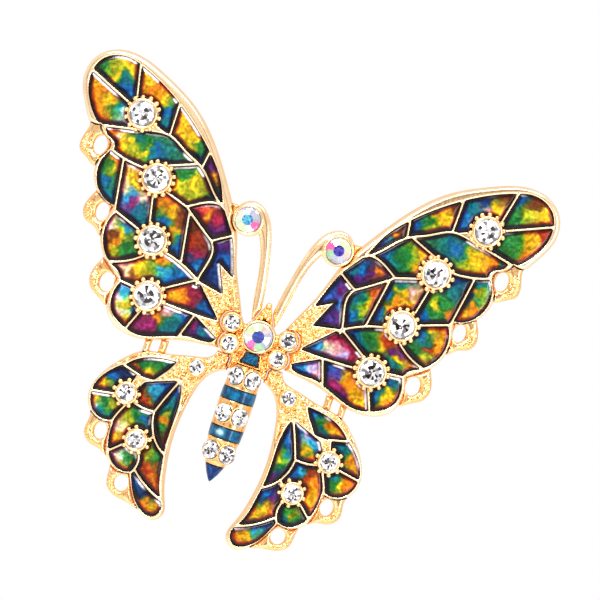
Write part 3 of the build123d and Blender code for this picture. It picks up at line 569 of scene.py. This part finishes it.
def enamel_colour_and_light(wing, side_name, x, y, edge, toward_light, seed):
    """The enamel colour at each point of one cell: swirled spots inside a dark rim of painted shade.

    The colour darkens toward the rim as painted shade beside the walls, the rim narrows on the side
    of the light, and a painted highlight, a pale streak, runs along part of the rim there.
    """
    centre = np.array([x.mean(), y.mean()])
    places, colours = min(
        PAINT[(wing, side_name)], key=lambda line: np.hypot(*(line[0].mean(0) - centre))
    )
    wx = x + 0.9 * ripple(x, y, 1.3, seed) + 0.3 * ripple(x, y, 0.45, seed + 3)
    wy = y + 0.9 * ripple(x, y, 1.3, seed + 9) + 0.3 * ripple(x, y, 0.45, seed + 6)
    gap = np.hypot(wx[:, None] - places[:, 0], wy[:, None] - places[:, 1])
    weight = 1 / (gap + SPOT_CORE) ** SPOT_EDGE
    weight /= weight.sum(1, keepdims=True)
    colour = GLOW * np.exp(weight @ np.log(colours))
    colour *= np.exp(0.9 * ripple(wx, wy, 0.55, seed + 60))[:, None]
    # painted shade: a dark rim, narrower on the side of the light, and colour that darkens toward it
    width = 0.27 + 0.16 * ripple(x, y, 1.6, seed + 20) - 0.12 * toward_light
    depth = 1 - ease(edge, width - 0.12, width + 0.42)[:, None]
    colour = colour * np.exp(-depth * RIM_SHADE_RATE)
    rim = ease(edge, width - 0.16, width + 0.10)[:, None]
    colour = RIM_SHADE * (1 - rim) + colour * rim
    # painted highlight: a pale streak along the rim on the side of the light
    painted_highlight = ease(toward_light, 0.55, 0.9) * ease(edge, 0.03, 0.10) * (1 - ease(edge, 0.24, 0.40))
    painted_highlight = (painted_highlight * ease(ripple(x, y, 3.0, seed + 40), -0.02, 0.16))[:, None]
    return colour * (1 - painted_highlight) + HIGHLIGHT_STREAK * painted_highlight


# ------------ wings
# stone radius, number of beads round it and bead radius
WING_CUPS = {"forewing": (FOREWING_STONE, 14, 0.34), "hindwing": (HINDWING_STONE, 9, 0.31)}
STONES = {"forewing": (1, 2, 3, 4), "hindwing": (1, 2)}
GRAINS = (0.58, 0.38)       # spacing and radius of the granulated gold
SHOULDER_X, SHOULDER_Y = 2.46, -2.9
SLIVER = 20                 # a loop's part with fewer grid points is left out
THORAX_CUT = 1.42           # radius that the wings leave free round a thorax stone


def box_middle(node):
    a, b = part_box(node)
    return np.array([(p + q) / 2 / MM for p, q in zip(a, b)])


def stone_centre(node, side):
    return to_local(box_middle(node)[None], side)[0]


def cup_profile(stone, wall=0.36, rise=0.0):
    """The wall that rises round a stone and turns in over its edge."""
    top = CUP_TOP + rise
    return [
        (stone + wall, 0.45), (stone + wall - 0.01, top - 0.3), (stone + 0.8 * wall, top - 0.1),
        (stone + 0.5 * wall, top - 0.02), (stone + 0.2 * wall, top), (stone - 0.02, top - 0.05),
        (stone - 0.10, top - 0.14), (stone - 0.12, top - 0.26),
    ]


def beside_body(x, y):
    """True where a point of a wing's outline is on the cut that butts against the body."""
    hit = (np.abs(x - SHOULDER_X) < 0.06) & (y < SHOULDER_Y)
    for level in ("upper", "lower"):
        spot = stone_centre(f"thorax_stone_{level}_right", 1)
        hit |= np.abs(np.hypot(x - spot[0], y - spot[1]) - THORAX_CUT) < 0.06
    return hit


def wing_frame(wing, side_name):
    side = SIDES[side_name]
    node = f"{wing}_frame_{side_name}"
    rng = random.Random(11 if wing == "forewing" else 23)
    plate = np.concatenate(flat_parts(node, side, BACK))
    floors = flat_parts(node, side, CELL_FLOOR)
    root = flat_parts(node, side, ROOT_TOP)
    cell_edges = np.concatenate(floors)
    grid = Grid(plate)
    x_all, y_all = grid.points()
    d_out, ox, oy = grid.distance(plate)
    d_cell, cx, cy = grid.distance(cell_edges)
    in_plate = grid.inside(plate)
    in_root = grid.inside(np.concatenate(root)) if root else np.zeros(grid.shape, bool)
    shell = Shell()

    # the walls, rim and root, with the cells left open
    mask = in_plate & ~grid.inside(cell_edges)
    outer = d_out < d_cell
    near_x, near_y = np.where(outer, ox, cx), np.where(outer, oy, cy)
    x, y, border, quads, used = grid_mesh(grid, mask, near_x, near_y)
    inner_edge = np.minimum(d_out, d_cell)
    if wing == "forewing":
        deep = ease(inner_edge, 0.16, 0.34) * in_root
    else:
        deep = ease(inner_edge, 0.24, 0.42) * (y_all > -12.2)
    grains = granules(grid, deep > 0.3, *GRAINS, rng)
    top = WALL_TOP + deep * (0.42 * grains - 0.44)
    seam = beside_body(ox, oy)
    edge_rise = np.where(seam, 1.0, dome(d_out, 0.62))
    lifted = np.minimum(
        RIM_MIDDLE + (top - RIM_MIDDLE) * edge_rise,
        WALL_EDGE + (top - WALL_EDGE) * dome(d_cell, 0.17),
    )
    centres = [stone_centre(f"{wing}_stone_{number}_{side_name}", side) for number in STONES[wing]]
    for spot in centres:
        around = np.hypot(x_all - spot[0], y_all - spot[1])
        lifted = np.where(around < WING_CUPS[wing][0] + 0.3, 0.5, lifted)
    outside = np.where(outer, np.where(seam, 0.4, RIM_MIDDLE), WALL_EDGE)
    height = np.where(mask, lifted, outside)[used]
    warmth = np.maximum(deep, 0.45 * (1 - ease(d_out, 0.0, 0.3)))[used]
    shell.add(np.stack([x, y, height], 1), quads, warmth)
    add_skirts(shell, x, y, quads, border & ~outer[used])

    # the closed back, with rounded edges
    x, y, _, quads, used = grid_mesh(grid, in_plate, ox, oy)
    height = np.where(in_plate, BACK + 0.4 * (1 - dome(d_out, 0.35)), RIM_MIDDLE)[used]
    shell.add(np.stack([x, y, height], 1), quads[:, ::-1], 0.28)

    # the floors under the enamel
    for floor in floors:
        small = Grid(floor)
        _, nx, ny = small.distance(floor, 0.5)
        x, y, _, quads, used = grid_mesh(small, small.inside(floor), nx, ny)
        shell.add(np.stack([x, y, np.full(len(x), FLOOR)], 1), quads)

    add_loops(shell, node, side, plate, rng)
    for spot in centres:
        add_beaded_cup(shell, spot, *WING_CUPS[wing], rng)
    if wing == "hindwing":
        spot = stone_centre(f"root_stone_{side_name}", side)
        shell.add(*lathe(cup_profile(ROOT_STONE, 0.25), spot), 0.6)
    piece = shell.make_gold(f"{wing}_gold_{side_name}", side)
    finish_piece(piece, GOLD, node)


def add_skirts(shell, x, y, quads, on_cell):
    """Short upright faces that close the walls down into the cells."""
    edges = {}
    for quad in quads.tolist():
        for k in range(4):
            edge = (quad[k], quad[(k + 1) % 4])
            key = (min(edge), max(edge))
            edges[key] = None if key in edges else edge
    skirt = [edge for edge in edges.values() if edge and on_cell[edge[0]] and on_cell[edge[1]]]
    if not skirt:
        return
    ends = sorted({v for edge in skirt for v in edge})
    place = {v: k for k, v in enumerate(ends)}
    count = len(ends)
    points = [(x[v], y[v], level) for level in (WALL_EDGE, FLOOR) for v in ends]
    shell.add(points, [(place[b], place[a], place[a] + count, place[b] + count) for a, b in skirt])


def add_beaded_cup(shell, spot, stone, beads, bead, rng):
    shell.add(*lathe(cup_profile(stone), spot), 0.15)
    start = rng.uniform(0, 1)
    for k in range(beads):
        turn = 2 * math.pi * (k + start + rng.uniform(-0.12, 0.12)) / beads
        ring = stone + 0.50 + rng.uniform(-0.03, 0.04)
        beside = (spot[0] + ring * math.cos(turn), spot[1] + ring * math.sin(turn))
        shell.add(*ball(beside, bead * rng.uniform(0.88, 1.06), 0.86), 0.3)


def add_loops(shell, node, side, plate, rng):
    """The pierced loops and posts outside a wing's rim: ridged outside, smooth inside."""
    for part in flat_parts(node, side, LOOP_BACK):
        grid = Grid(part, pitch=0.09)
        inside = grid.inside(part)
        if inside.sum() < SLIVER:
            continue
        _, nx, ny = grid.distance(part)
        d_plate, _, _ = grid.distance(plate, 4.0)
        clear = np.array([np.hypot(*(plate.mean(1) - m).T).min() > 0.12 for m in part.mean(1)])
        free = part[clear] if clear.any() else part
        d_free, _, _ = grid.distance(free)
        x_all, y_all = grid.points()
        centre = (part.reshape(-1, 2).min(0) + part.reshape(-1, 2).max(0)) / 2
        turn = np.arctan2(y_all - centre[1], x_all - centre[0])
        outward = ease(d_plate, 0.7, 1.7)
        flutes = 0.5 + 0.5 * np.cos(26 * turn + 1.5 * np.sin(3 * turn + centre[0]))
        pits = granules(grid, inside & (d_free > 0.1), 0.62, 0.34, rng)
        top = 0.5 + outward * (0.26 * flutes * (0.35 + 0.65 * pits) - 0.22)
        rise = dome(d_free, 0.62)
        x, y, _, quads, used = grid_mesh(grid, inside, nx, ny)
        above = np.where(inside, rise, np.where(d_free < 0.2, 0, 1))
        height = (LOOP_MIDDLE + (top - LOOP_MIDDLE) * above)[used]
        shell.add(np.stack([x, y, height], 1), quads, (0.3 + 0.5 * outward)[used])
        under = (LOOP_MIDDLE - 0.35 * np.where(inside, rise, 0))[used]
        shell.add(np.stack([x, y, under], 1), quads[:, ::-1], 0.5)


def wing_enamel(wing, side_name, group):
    side = SIDES[side_name]
    node = f"{wing}_enamel_{group}_{side_name}"
    shell = Shell()
    colours = []
    for edges in flat_parts(node, side, CELL_TOP):
        grid = Grid(edges, pitch=0.11)
        inside = grid.inside(edges)
        dist, nx, ny = grid.distance(edges)
        x, y, _, quads, used = grid_mesh(grid, inside, nx, ny)
        x_all, y_all = grid.points()
        seed = float(x.mean() * 3.1 + y.mean() * 1.7 + (50 if side < 0 else 0))
        edge = np.where(inside, dist, 0)[used]
        to_edge = np.stack([(nx - x_all)[used] * side, (ny - y_all)[used]], 1)
        to_edge /= np.maximum(np.linalg.norm(to_edge, axis=1, keepdims=True), 1e-6)
        wave = 0.085 * ripple(x, y, 2.0, seed) + 0.035 * ripple(x, y, 0.8, seed + 2)
        height = ENAMEL_EDGE + 0.24 * dome(edge, 0.95) + wave * ease(edge, 0.05, 0.6)
        shell.add(np.stack([x, y, height], 1), quads)
        colours.append(enamel_colour_and_light(wing, side_name, x, y, edge, to_edge @ LIGHT, seed))
    piece = shell.make(f"{wing}_glaze_{group}_{side_name}", side)
    attribute(piece, "colour_and_light", np.concatenate(colours))
    finish_piece(piece, WING_ENAMEL, node)


def antenna_piece(side_name):
    side = SIDES[side_name]
    node = f"antenna_{side_name}"
    part = np.concatenate(flat_parts(node, side, LOOP_BACK))
    grid = Grid(part, pitch=0.1)
    inside = grid.inside(part)
    dist, nx, ny = grid.distance(part)
    x, y, _, quads, used = grid_mesh(grid, inside, nx, ny)
    rise = np.where(inside, dome(dist, 0.85), 0)[used]
    shell = Shell()
    shell.add(np.stack([x, y, 0.05 + 0.6 * rise], 1), quads, 0.1)
    shell.add(np.stack([x, y, 0.05 - 0.5 * rise], 1), quads[:, ::-1], 0.3)
    spot = stone_centre(f"antenna_stone_{side_name}", side)
    shell.add(*lathe([(2.02, 0.0), *cup_profile(ANTENNA_STONE, 0.34)], spot), 0.1)
    piece = shell.make_gold(f"antenna_gold_{side_name}", side)
    finish_piece(piece, GOLD, node)


# ------------ body
# the abdomen's radius at each level, from its front end to its tip
ABDOMEN = np.array([
    (-3.75, 1.8), (-5.0, 2.1), (-7.3, 2.21), (-9.5, 2.25), (-11.5, 2.2), (-13.2, 2.1), (-15.0, 1.77),
    (-16.6, 1.3), (-17.8, 0.76), (-18.6, 0.28), (-18.9, 0.0),
])
ABDOMEN_FRONT, ABDOMEN_TIP = -3.8, -18.88
BANDS = {"upper": (-6.65, -8.3), "lower": (-11.65, -13.25), "tail": (-16.6, -18.9)}
TAIL_END = -18.0            # a band that ends below this runs out to the tip
AXIS_DEPTH = 0.3
BAND_BACK = 0.2
SKIN_BACK = BACK + 0.03     # the abdomen's back stays just off the thorax's
PLATE_END = -4.75           # the thorax's plate ends here, inside the abdomen
# middles and radii of the balls on the crest, and the middle of the one at its end
CREST_BALLS = (((0.0, 3.0), 0.34), ((0.0, 3.6), 0.34), ((0.42, 2.7), 0.3), ((-0.42, 2.6), 0.3))
CREST_END = (0.0, 4.28)
STONE_LIFT = 2.02           # from the abdomen's axis to its stones' girdles


def abdomen_radius(y):
    return np.interp(-y, -ABDOMEN[:, 0], ABDOMEN[:, 1])


def skin(rows, radius, clip, count=72):
    """A surface round the abdomen's axis, flat where it would pass behind a depth."""
    turns = np.linspace(-math.pi, math.pi, count)
    y, turn = np.meshgrid(rows, turns, indexing="ij")
    r = radius(y, turn)
    depth = np.maximum(AXIS_DEPTH + r * np.cos(turn), clip)
    points = np.stack([r * np.sin(turn), y, depth], -1).reshape(-1, 3)
    number = np.arange(y.size).reshape(y.shape)
    quads = np.stack([number[:-1, :-1], number[1:, :-1], number[1:, 1:], number[:-1, 1:]], -1)
    return points, quads.reshape(-1, 4), y, turn


def gold_radius(y, turn):
    """The gold between the bands, with a fine bead beside each band and a groove under it."""
    r = abdomen_radius(y) - 0.05
    for top, bottom in BANDS.values():
        in_band = (y < top) & (y > bottom - 0.5 * (bottom < TAIL_END))
        in_front = AXIS_DEPTH + r * np.cos(turn) > BAND_BACK
        r = np.where(in_band & in_front, r - 0.3, r)
        for line in (top, bottom):
            r = r + 0.06 * np.exp(-((y - line) / 0.12) ** 2) * ~in_band
    return np.maximum(r, 0.02)


def cap_radius(y, turn):
    """The abdomen's front end: its outline behind, drawn in to the axis in front."""
    return np.where(y > ABDOMEN_FRONT - 0.0005, 0.02, gold_radius(y, turn))


def band_edge(y, top, bottom):
    """Distance inside a band's nearest edge."""
    return np.minimum(top - y, y - bottom if bottom > TAIL_END else 9.0)


def tilted(points, side):
    """Points about an abdomen stone's own axis, moved to where it sits."""
    points = np.asarray(points, float)
    cos, sin = math.cos(ABDOMEN_TURN), math.sin(ABDOMEN_TURN)
    across = side * (points[:, 0] * cos + points[:, 2] * sin)
    return np.stack([across, points[:, 1], AXIS_DEPTH + points[:, 2] * cos - points[:, 0] * sin], 1)


def front_centre(node):
    return to_local(box_middle(node)[None], 1, FRONT)[0]


def body_gold():
    node = "body_casting"
    rng = random.Random(5)
    shell = Shell()
    plate = np.concatenate(flat_parts(node, 1, BACK, FRONT))
    raised = np.concatenate(flat_parts(node, 1, CREST_TOP, FRONT))
    grid = Grid(plate, pitch=0.09)
    d_out, ox, oy = grid.distance(plate)
    d_up, _, _ = grid.distance(raised, 0.6)
    _, y_all = grid.points()
    up = grid.inside(raised)
    mask = grid.inside(plate) & (y_all > PLATE_END)
    x, y, _, quads, used = grid_mesh(grid, mask, ox, oy)
    grains = granules(grid, mask, *GRAINS, rng)
    crest = up & (y_all > 1.0)
    neck = up & (y_all < 1.0)
    top = 0.12 + 0.42 * grains
    top = np.where(neck, 0.5 + 0.6 * dome(d_up, 0.3), top)
    top = np.where(crest, 0.35 + (0.32 + 0.42 * grains) * dome(d_up, 0.5), top)
    rise = dome(d_out, 0.15)
    height = np.where(mask, THORAX_MIDDLE + (top - THORAX_MIDDLE) * rise, THORAX_MIDDLE)[used]
    warmth = np.where(neck, 0.3, 0.95)[used]
    shell.add(np.stack([x, y, height], 1), quads, warmth)
    height = np.where(mask, BACK + (THORAX_MIDDLE - BACK) * (1 - rise), THORAX_MIDDLE)[used]
    shell.add(np.stack([x, y, height], 1), quads[:, ::-1], 0.4)
    for spot, radius in CREST_BALLS:
        shell.add(*ball(spot, radius, 0.92), 0.95)
    shell.add(*ball(CREST_END, 0.42, 0.9), 0.9)

    shell.add(*lathe(cup_profile(HEAD_STONE, 0.26, 0.1), (0.0, 0.2)), 0.1)
    for side_name in SIDES:
        for level in ("upper", "lower"):
            spot = front_centre(f"thorax_stone_{level}_{side_name}")
            shell.add(*lathe(cup_profile(THORAX_STONE, 0.24, 0.08), spot), 0.5)

    points, quads, _, _ = skin(np.linspace(ABDOMEN_FRONT, ABDOMEN_TIP, 150), gold_radius, SKIN_BACK)
    shell.add(points, quads, 0.75)
    points, quads, _, _ = skin(np.array([ABDOMEN_FRONT, ABDOMEN_FRONT - 0.001]), cap_radius, SKIN_BACK)
    shell.add(points, quads[:, [0, 3, 2, 1]], 0.75)
    collar = [(1.33, -0.7), (1.33, 0.0), (1.28, 0.10), (1.20, 0.13), (1.13, 0.09), (1.08, 0.0)]
    for side_name, side in SIDES.items():
        for level in ("upper", "middle", "lower"):
            middle = front_centre(f"abdomen_stone_{level}_{side_name}")
            points, faces = lathe(collar, (0.0, middle[1]))
            points = np.array(points) + np.array((0.0, 0.0, STONE_LIFT))
            shell.add(tilted(points, side), faces, 0.6)
    piece = shell.make_gold("body_gold", 1, FRONT)
    finish_piece(piece, GOLD, node)


def abdomen_glaze(band, top, bottom):
    def glaze_radius(y, _):
        edge = band_edge(y, top, bottom)
        return np.maximum(abdomen_radius(y) - 0.20 + 0.17 * dome(edge, 0.3), 0.015)

    points, quads, y, turn = skin(np.linspace(top - 0.03, bottom + 0.03, 40), glaze_radius, BAND_BACK)
    shell = Shell()
    shell.add(points, quads)
    sheen = ripple(y, turn * 2, 0.8, 3.0)[..., None]
    base = TAIL if band == "tail" else BAND
    colour = base[0] + (base[1] - base[0]) * ease(sheen, -0.3, 0.4)
    # painted shade: near-black at the band's edges beside the gold and where it turns away to the sides
    rim = ease(band_edge(y, top, bottom), 0.05, 0.30) * ease(np.abs(turn), 1.55, 1.2)
    colour = RIM_SHADE + (colour - RIM_SHADE) * rim[..., None]
    if band == "lower":
        middle = (top + bottom) / 2
        glint = np.exp(-((turn + 0.35) / 0.2) ** 2 - ((y - middle) / 0.3) ** 2)[..., None]
        colour = colour + (GLINT - colour) * np.clip(1.3 * glint, 0, 1)
    piece = shell.make(f"abdomen_glaze_{band}", 1, FRONT)
    attribute(piece, "colour_and_light", colour.reshape(-1, 3))
    finish_piece(piece, WING_ENAMEL, f"abdomen_enamel_{band}")


def neck_glaze():
    edges = np.concatenate(flat_parts("neck_enamel", 1, CREST_TOP, FRONT))
    grid = Grid(edges, pitch=0.08)
    inside = grid.inside(edges)
    dist, nx, ny = grid.distance(edges)
    x, y, _, quads, used = grid_mesh(grid, inside, nx, ny)
    edge = np.where(inside, dist, 0)[used]
    shell = Shell()
    shell.add(np.stack([x, y, 0.98 + 0.14 * dome(edge, 0.5)], 1), quads)
    sheen = ripple(x, y, 0.25, 8.0)[:, None]
    colour = BAND[0] + (BAND[1] - BAND[0]) * ease(sheen, -0.25, 0.3)
    # painted shade: near-black toward the edge, beside the gold
    colour = RIM_SHADE + (colour - RIM_SHADE) * ease(edge, 0.05, 0.28)[:, None]
    piece = shell.make("neck_glaze", 1, FRONT)
    attribute(piece, "colour_and_light", colour)
    finish_piece(piece, WING_ENAMEL, "neck_enamel")


# ------------ stones
WHITE, PALE, GREY, DARK = (0.92, 0.92, 0.95), (0.46, 0.47, 0.51), (0.16, 0.16, 0.18), (0.01, 0.01, 0.013)
# painted reflections: tones that a clear stone's facets take, ring by ring from its middle
CLEAR_REFLECTIONS = (
    [WHITE, GREY, DARK, PALE, GREY], [WHITE, DARK, PALE, GREY, WHITE, DARK],
    [WHITE, PALE, DARK, WHITE, GREY], [WHITE, PALE, WHITE, GREY],
)
NAVY = [(0.01, 0.03, 0.26), (0.02, 0.06, 0.42), (0.01, 0.02, 0.16)]
VIOLET = [(0.05, 0.05, 0.42), (0.12, 0.08, 0.50), (0.02, 0.03, 0.22)]
AQUA = [(0.04, 0.28, 0.50), (0.02, 0.12, 0.36), (0.10, 0.45, 0.60)]
# tones round a coated stone's crown, in eighths of a turn: the coating's colours, painted facet by facet as
# its reflections
AURORA = [
    (0.42, 0.42, 0.56), (0.72, 0.58, 0.52), (0.58, 0.72, 0.46), (0.62, 0.72, 0.40),
    (0.66, 0.70, 0.66), (0.80, 0.10, 0.34), (0.26, 0.50, 0.28), (0.34, 0.36, 0.44),
]


def clear_reflection(rng, ring, turn):
    return rng.choice(CLEAR_REFLECTIONS[ring])


def aurora_tone(core, offset):
    """Tones of a coated stone: a deep core and pale colours that change round the crown, partly the stone's
    own colour and partly painted reflection.
    """
    def tone(rng, ring, turn):
        if ring < 2:
            return rng.choice(core)
        around = AURORA[int((turn + offset) / (math.pi / 4)) % 8]
        lift = rng.uniform(0.75, 1.1)
        return tuple(min(1.0, c * lift) for c in around)
    return tone


SECTORS = 16
TABLE, COATED_TABLE = 0.56, 0.42
FACET_RINGS = 4             # rings with tones of their own; the edge and the underside share one dark colour, painted shade from the cup
# painted shade from the cup on a stone's edge and underside
GIRDLE_SHADE = (0.10, 0.10, 0.12)


def stone_piece(node, name, facing, radius, tone_of, seed, table=TABLE):
    """A round brilliant of flat facets in sectors and rings, each coloured with painted reflections, and
    painted shade from the cup at the edge and underneath.
    """
    origin, across, up, normal = stone_plane(node, radius, facing)
    rng = random.Random(seed)
    start = rng.uniform(0, math.pi / 8)

    def at(r, turn, height):
        outward = math.cos(turn) * across + math.sin(turn) * up
        return origin + r * radius * outward + height * radius * normal

    rings = [
        (0.0, 0.33), (0.26, 0.33), (table, 0.33), (0.80, 0.20), (0.95, 0.10), (1.0, 0.04),
        (0.99, -0.10), (0.0, -0.7),
    ]
    points, polygons, colours = [], [], []
    for ring in range(len(rings) - 1):
        (r0, h0), (r1, h1) = rings[ring], rings[ring + 1]
        for k in range(SECTORS):
            twist = 0.5 * (ring % 2) * 2 * math.pi / SECTORS
            a = start + 2 * math.pi * k / SECTORS
            b = start + 2 * math.pi * (k + 1) / SECTORS
            corners = [at(r0, a, h0), at(r1, a + twist, h1), at(r1, b + twist, h1), at(r0, b, h0)]
            if ring % 2:
                corners = [at(r0, a + twist, h0), at(r1, a, h1), at(r1, b, h1), at(r0, b + twist, h0)]
            tone = tone_of(rng, ring, (a + b) / 2) if ring < FACET_RINGS else GIRDLE_SHADE
            polygons.append(list(range(len(points), len(points) + 4)))
            points.extend(corners)
            colours.extend([tone] * 4)
    mesh = bpy.data.meshes.new(name)
    mesh.from_pydata([tuple(p * MM) for p in points], [], polygons)
    piece = bpy.data.objects.new(name, mesh)
    bpy.context.scene.collection.objects.link(piece)
    attribute(piece, "tone", np.array(colours))
    finish_piece(piece, CRYSTAL, node)


def stone_plane(node, radius, facing):
    """Centre of the girdle and directions of a stone that faces along a direction."""
    normal = np.asarray(facing, float)
    across = np.cross(UP, normal)
    across /= np.linalg.norm(across)
    return box_middle(node) + normal * radius * 0.19, across, UP, normal


def clear_stones(side):
    """Name, radius and direction of each clear stone on one side."""
    wing = NORMAL * np.array([side, 1, 1])
    abdomen = (side * math.sin(ABDOMEN_TURN), -math.cos(ABDOMEN_TURN), 0)
    return [
        *((f"forewing_stone_{k}", FOREWING_STONE, wing) for k in STONES["forewing"]),
        *((f"hindwing_stone_{k}", HINDWING_STONE, wing) for k in STONES["hindwing"]),
        ("root_stone", ROOT_STONE, wing),
        *((f"thorax_stone_{k}", THORAX_STONE, FORWARD) for k in ("upper", "lower")),
        *((f"abdomen_stone_{k}", ABDOMEN_STONE, abdomen) for k in ("upper", "middle", "lower")),
    ]


for side_name, side in SIDES.items():
    for wing in ("forewing", "hindwing"):
        wing_frame(wing, side_name)
    for group in ("tip", "leading", "outer", "middle", "lower"):
        wing_enamel("forewing", side_name, group)
    for group in ("upper", "middle", "lower"):
        wing_enamel("hindwing", side_name, group)
    antenna_piece(side_name)
    for number, (stone, radius, facing) in enumerate(clear_stones(side)):
        node = f"{stone}_{side_name}"
        name = node.replace("stone", "crystal")
        stone_piece(node, name, facing, radius, clear_reflection, 31 * number + side)
    coated = aurora_tone(AQUA if side < 0 else VIOLET, 1.5 * side)
    stone_piece(
        f"antenna_stone_{side_name}", f"antenna_crystal_{side_name}", NORMAL * np.array([side, 1, 1]),
        ANTENNA_STONE, coated, 400 + side, COATED_TABLE,
    )
stone_piece(
    "head_stone", "head_crystal", FORWARD, HEAD_STONE, aurora_tone(NAVY, 0.0), 77, COATED_TABLE
)
body_gold()
for band, (top, bottom) in BANDS.items():
    abdomen_glaze(band, top, bottom)
neck_glaze()

# ------------ pieces that keep their CAD shape
finish = {"pin_stem": STEEL}
for node in ("hinge_base", "hinge_rivet", "catch_base", "catch_lock"):
    finish[node] = FINDING
for node, look in finish.items():
    NODES[node].data.materials.clear()
    NODES[node].data.materials.append(look)

# ------------ studio
def rectangle(name, width, height, colour):
    """A flat matt rectangle about its own centre, facing its own Z, kept out of the model."""
    w, h = width / 2, height / 2
    mesh = bpy.data.meshes.new(name)
    mesh.from_pydata([(-w, -h, 0), (w, -h, 0), (w, h, 0), (-w, h, 0)], [], [(0, 1, 2, 3)])
    made = bpy.data.objects.new(name, mesh)
    made.data.materials.append(material(name, colour, 0.0, 0.9)[0])
    bpy.context.scene.collection.objects.link(made)
    return made


def place(made, centre):
    """Move an object to a place in the studio and turn its Z away from the brooch."""
    made.location = centre
    made.rotation_mode = "QUATERNION"
    made.rotation_quaternion = (Vector(centre) - middle).to_track_quat("Z", "Y")


def card(name, centre, size, colour):
    """A card that shows only in reflections."""
    made = rectangle(name, *size, colour)
    made.visible_camera = False
    made.visible_shadow = False
    place(made, middle + Vector(centre))


def lamp(name, centre, size, power, colour=(1, 1, 1)):
    data = bpy.data.lights.new(name, "AREA")
    data.shape = "RECTANGLE"
    data.size, data.size_y = size
    data.energy = power
    data.color = colour
    made = bpy.data.objects.new(name, data)
    bpy.context.scene.collection.objects.link(made)
    place(made, middle + Vector(centre))


middle = (low + high) / 2
floor = rectangle("floor", 0.9, 0.9, (0.9, 0.9, 0.9))
floor.location = (0, 0, low.z - 0.13)

world = bpy.data.worlds.new("studio")
world.use_nodes = True
set_inputs(world.node_tree.nodes["Background"], Color=(1, 1, 1, 1), Strength=1.0)
bpy.context.scene.world = world

card("warm_front", (0, -0.70, 0), (2.6, 2.6), (0.90, 0.83, 0.75))
card("dark_left", (-0.30, -0.52, 0.0), (0.07, 0.8), (0.16, 0.08, 0.03))
card("dark_right", (0.14, -0.60, 0.0), (0.09, 0.9), (0.16, 0.08, 0.03))
card("dark_low", (0.0, -0.50, -0.34), (0.9, 0.10), (0.18, 0.09, 0.04))

lamp("key", (-0.22, -0.42, 0.34), (0.22, 0.16), 2.4)
lamp("fill", (0.34, -0.38, 0.02), (0.10, 0.34), 1.1, (1.0, 0.97, 0.94))
lamp("top", (0.06, -0.2, 0.5), (0.4, 0.1), 1.4)
lamp("low", (-0.1, -0.4, -0.25), (0.25, 0.06), 0.5)

# ------------ camera
ROLL = math.radians(18.9)
FIELD = 0.075               # width of the view at the brooch
PHOTO_SIZE = 600
AIM = (42.0, 38.5)          # from the head stone to the middle of the view, in the photo's pixels
LENS, SENSOR = 120, 36

head = Vector((0, ORIGIN[1] * MM, ORIGIN[2] * MM))
right = Vector((math.cos(ROLL), 0, math.sin(ROLL)))
upward = Vector((-math.sin(ROLL), 0, math.cos(ROLL)))
aim = head + right * (AIM[0] / PHOTO_SIZE * FIELD) + upward * (AIM[1] / PHOTO_SIZE * FIELD)
camera = bpy.data.cameras.new("camera")
camera.lens = LENS
camera.sensor_width = SENSOR
camera.clip_start, camera.clip_end = 0.005, 20
eye = bpy.data.objects.new("camera", camera)
eye.location = aim + Vector((0, -FIELD * LENS / SENSOR, 0))
eye.rotation_mode = "QUATERNION"
eye.rotation_quaternion = Matrix((right, upward, right.cross(upward))).transposed().to_quaternion()
bpy.context.scene.collection.objects.link(eye)
bpy.context.scene.camera = eye
bpy.context.scene.view_settings.view_transform = "Standard"
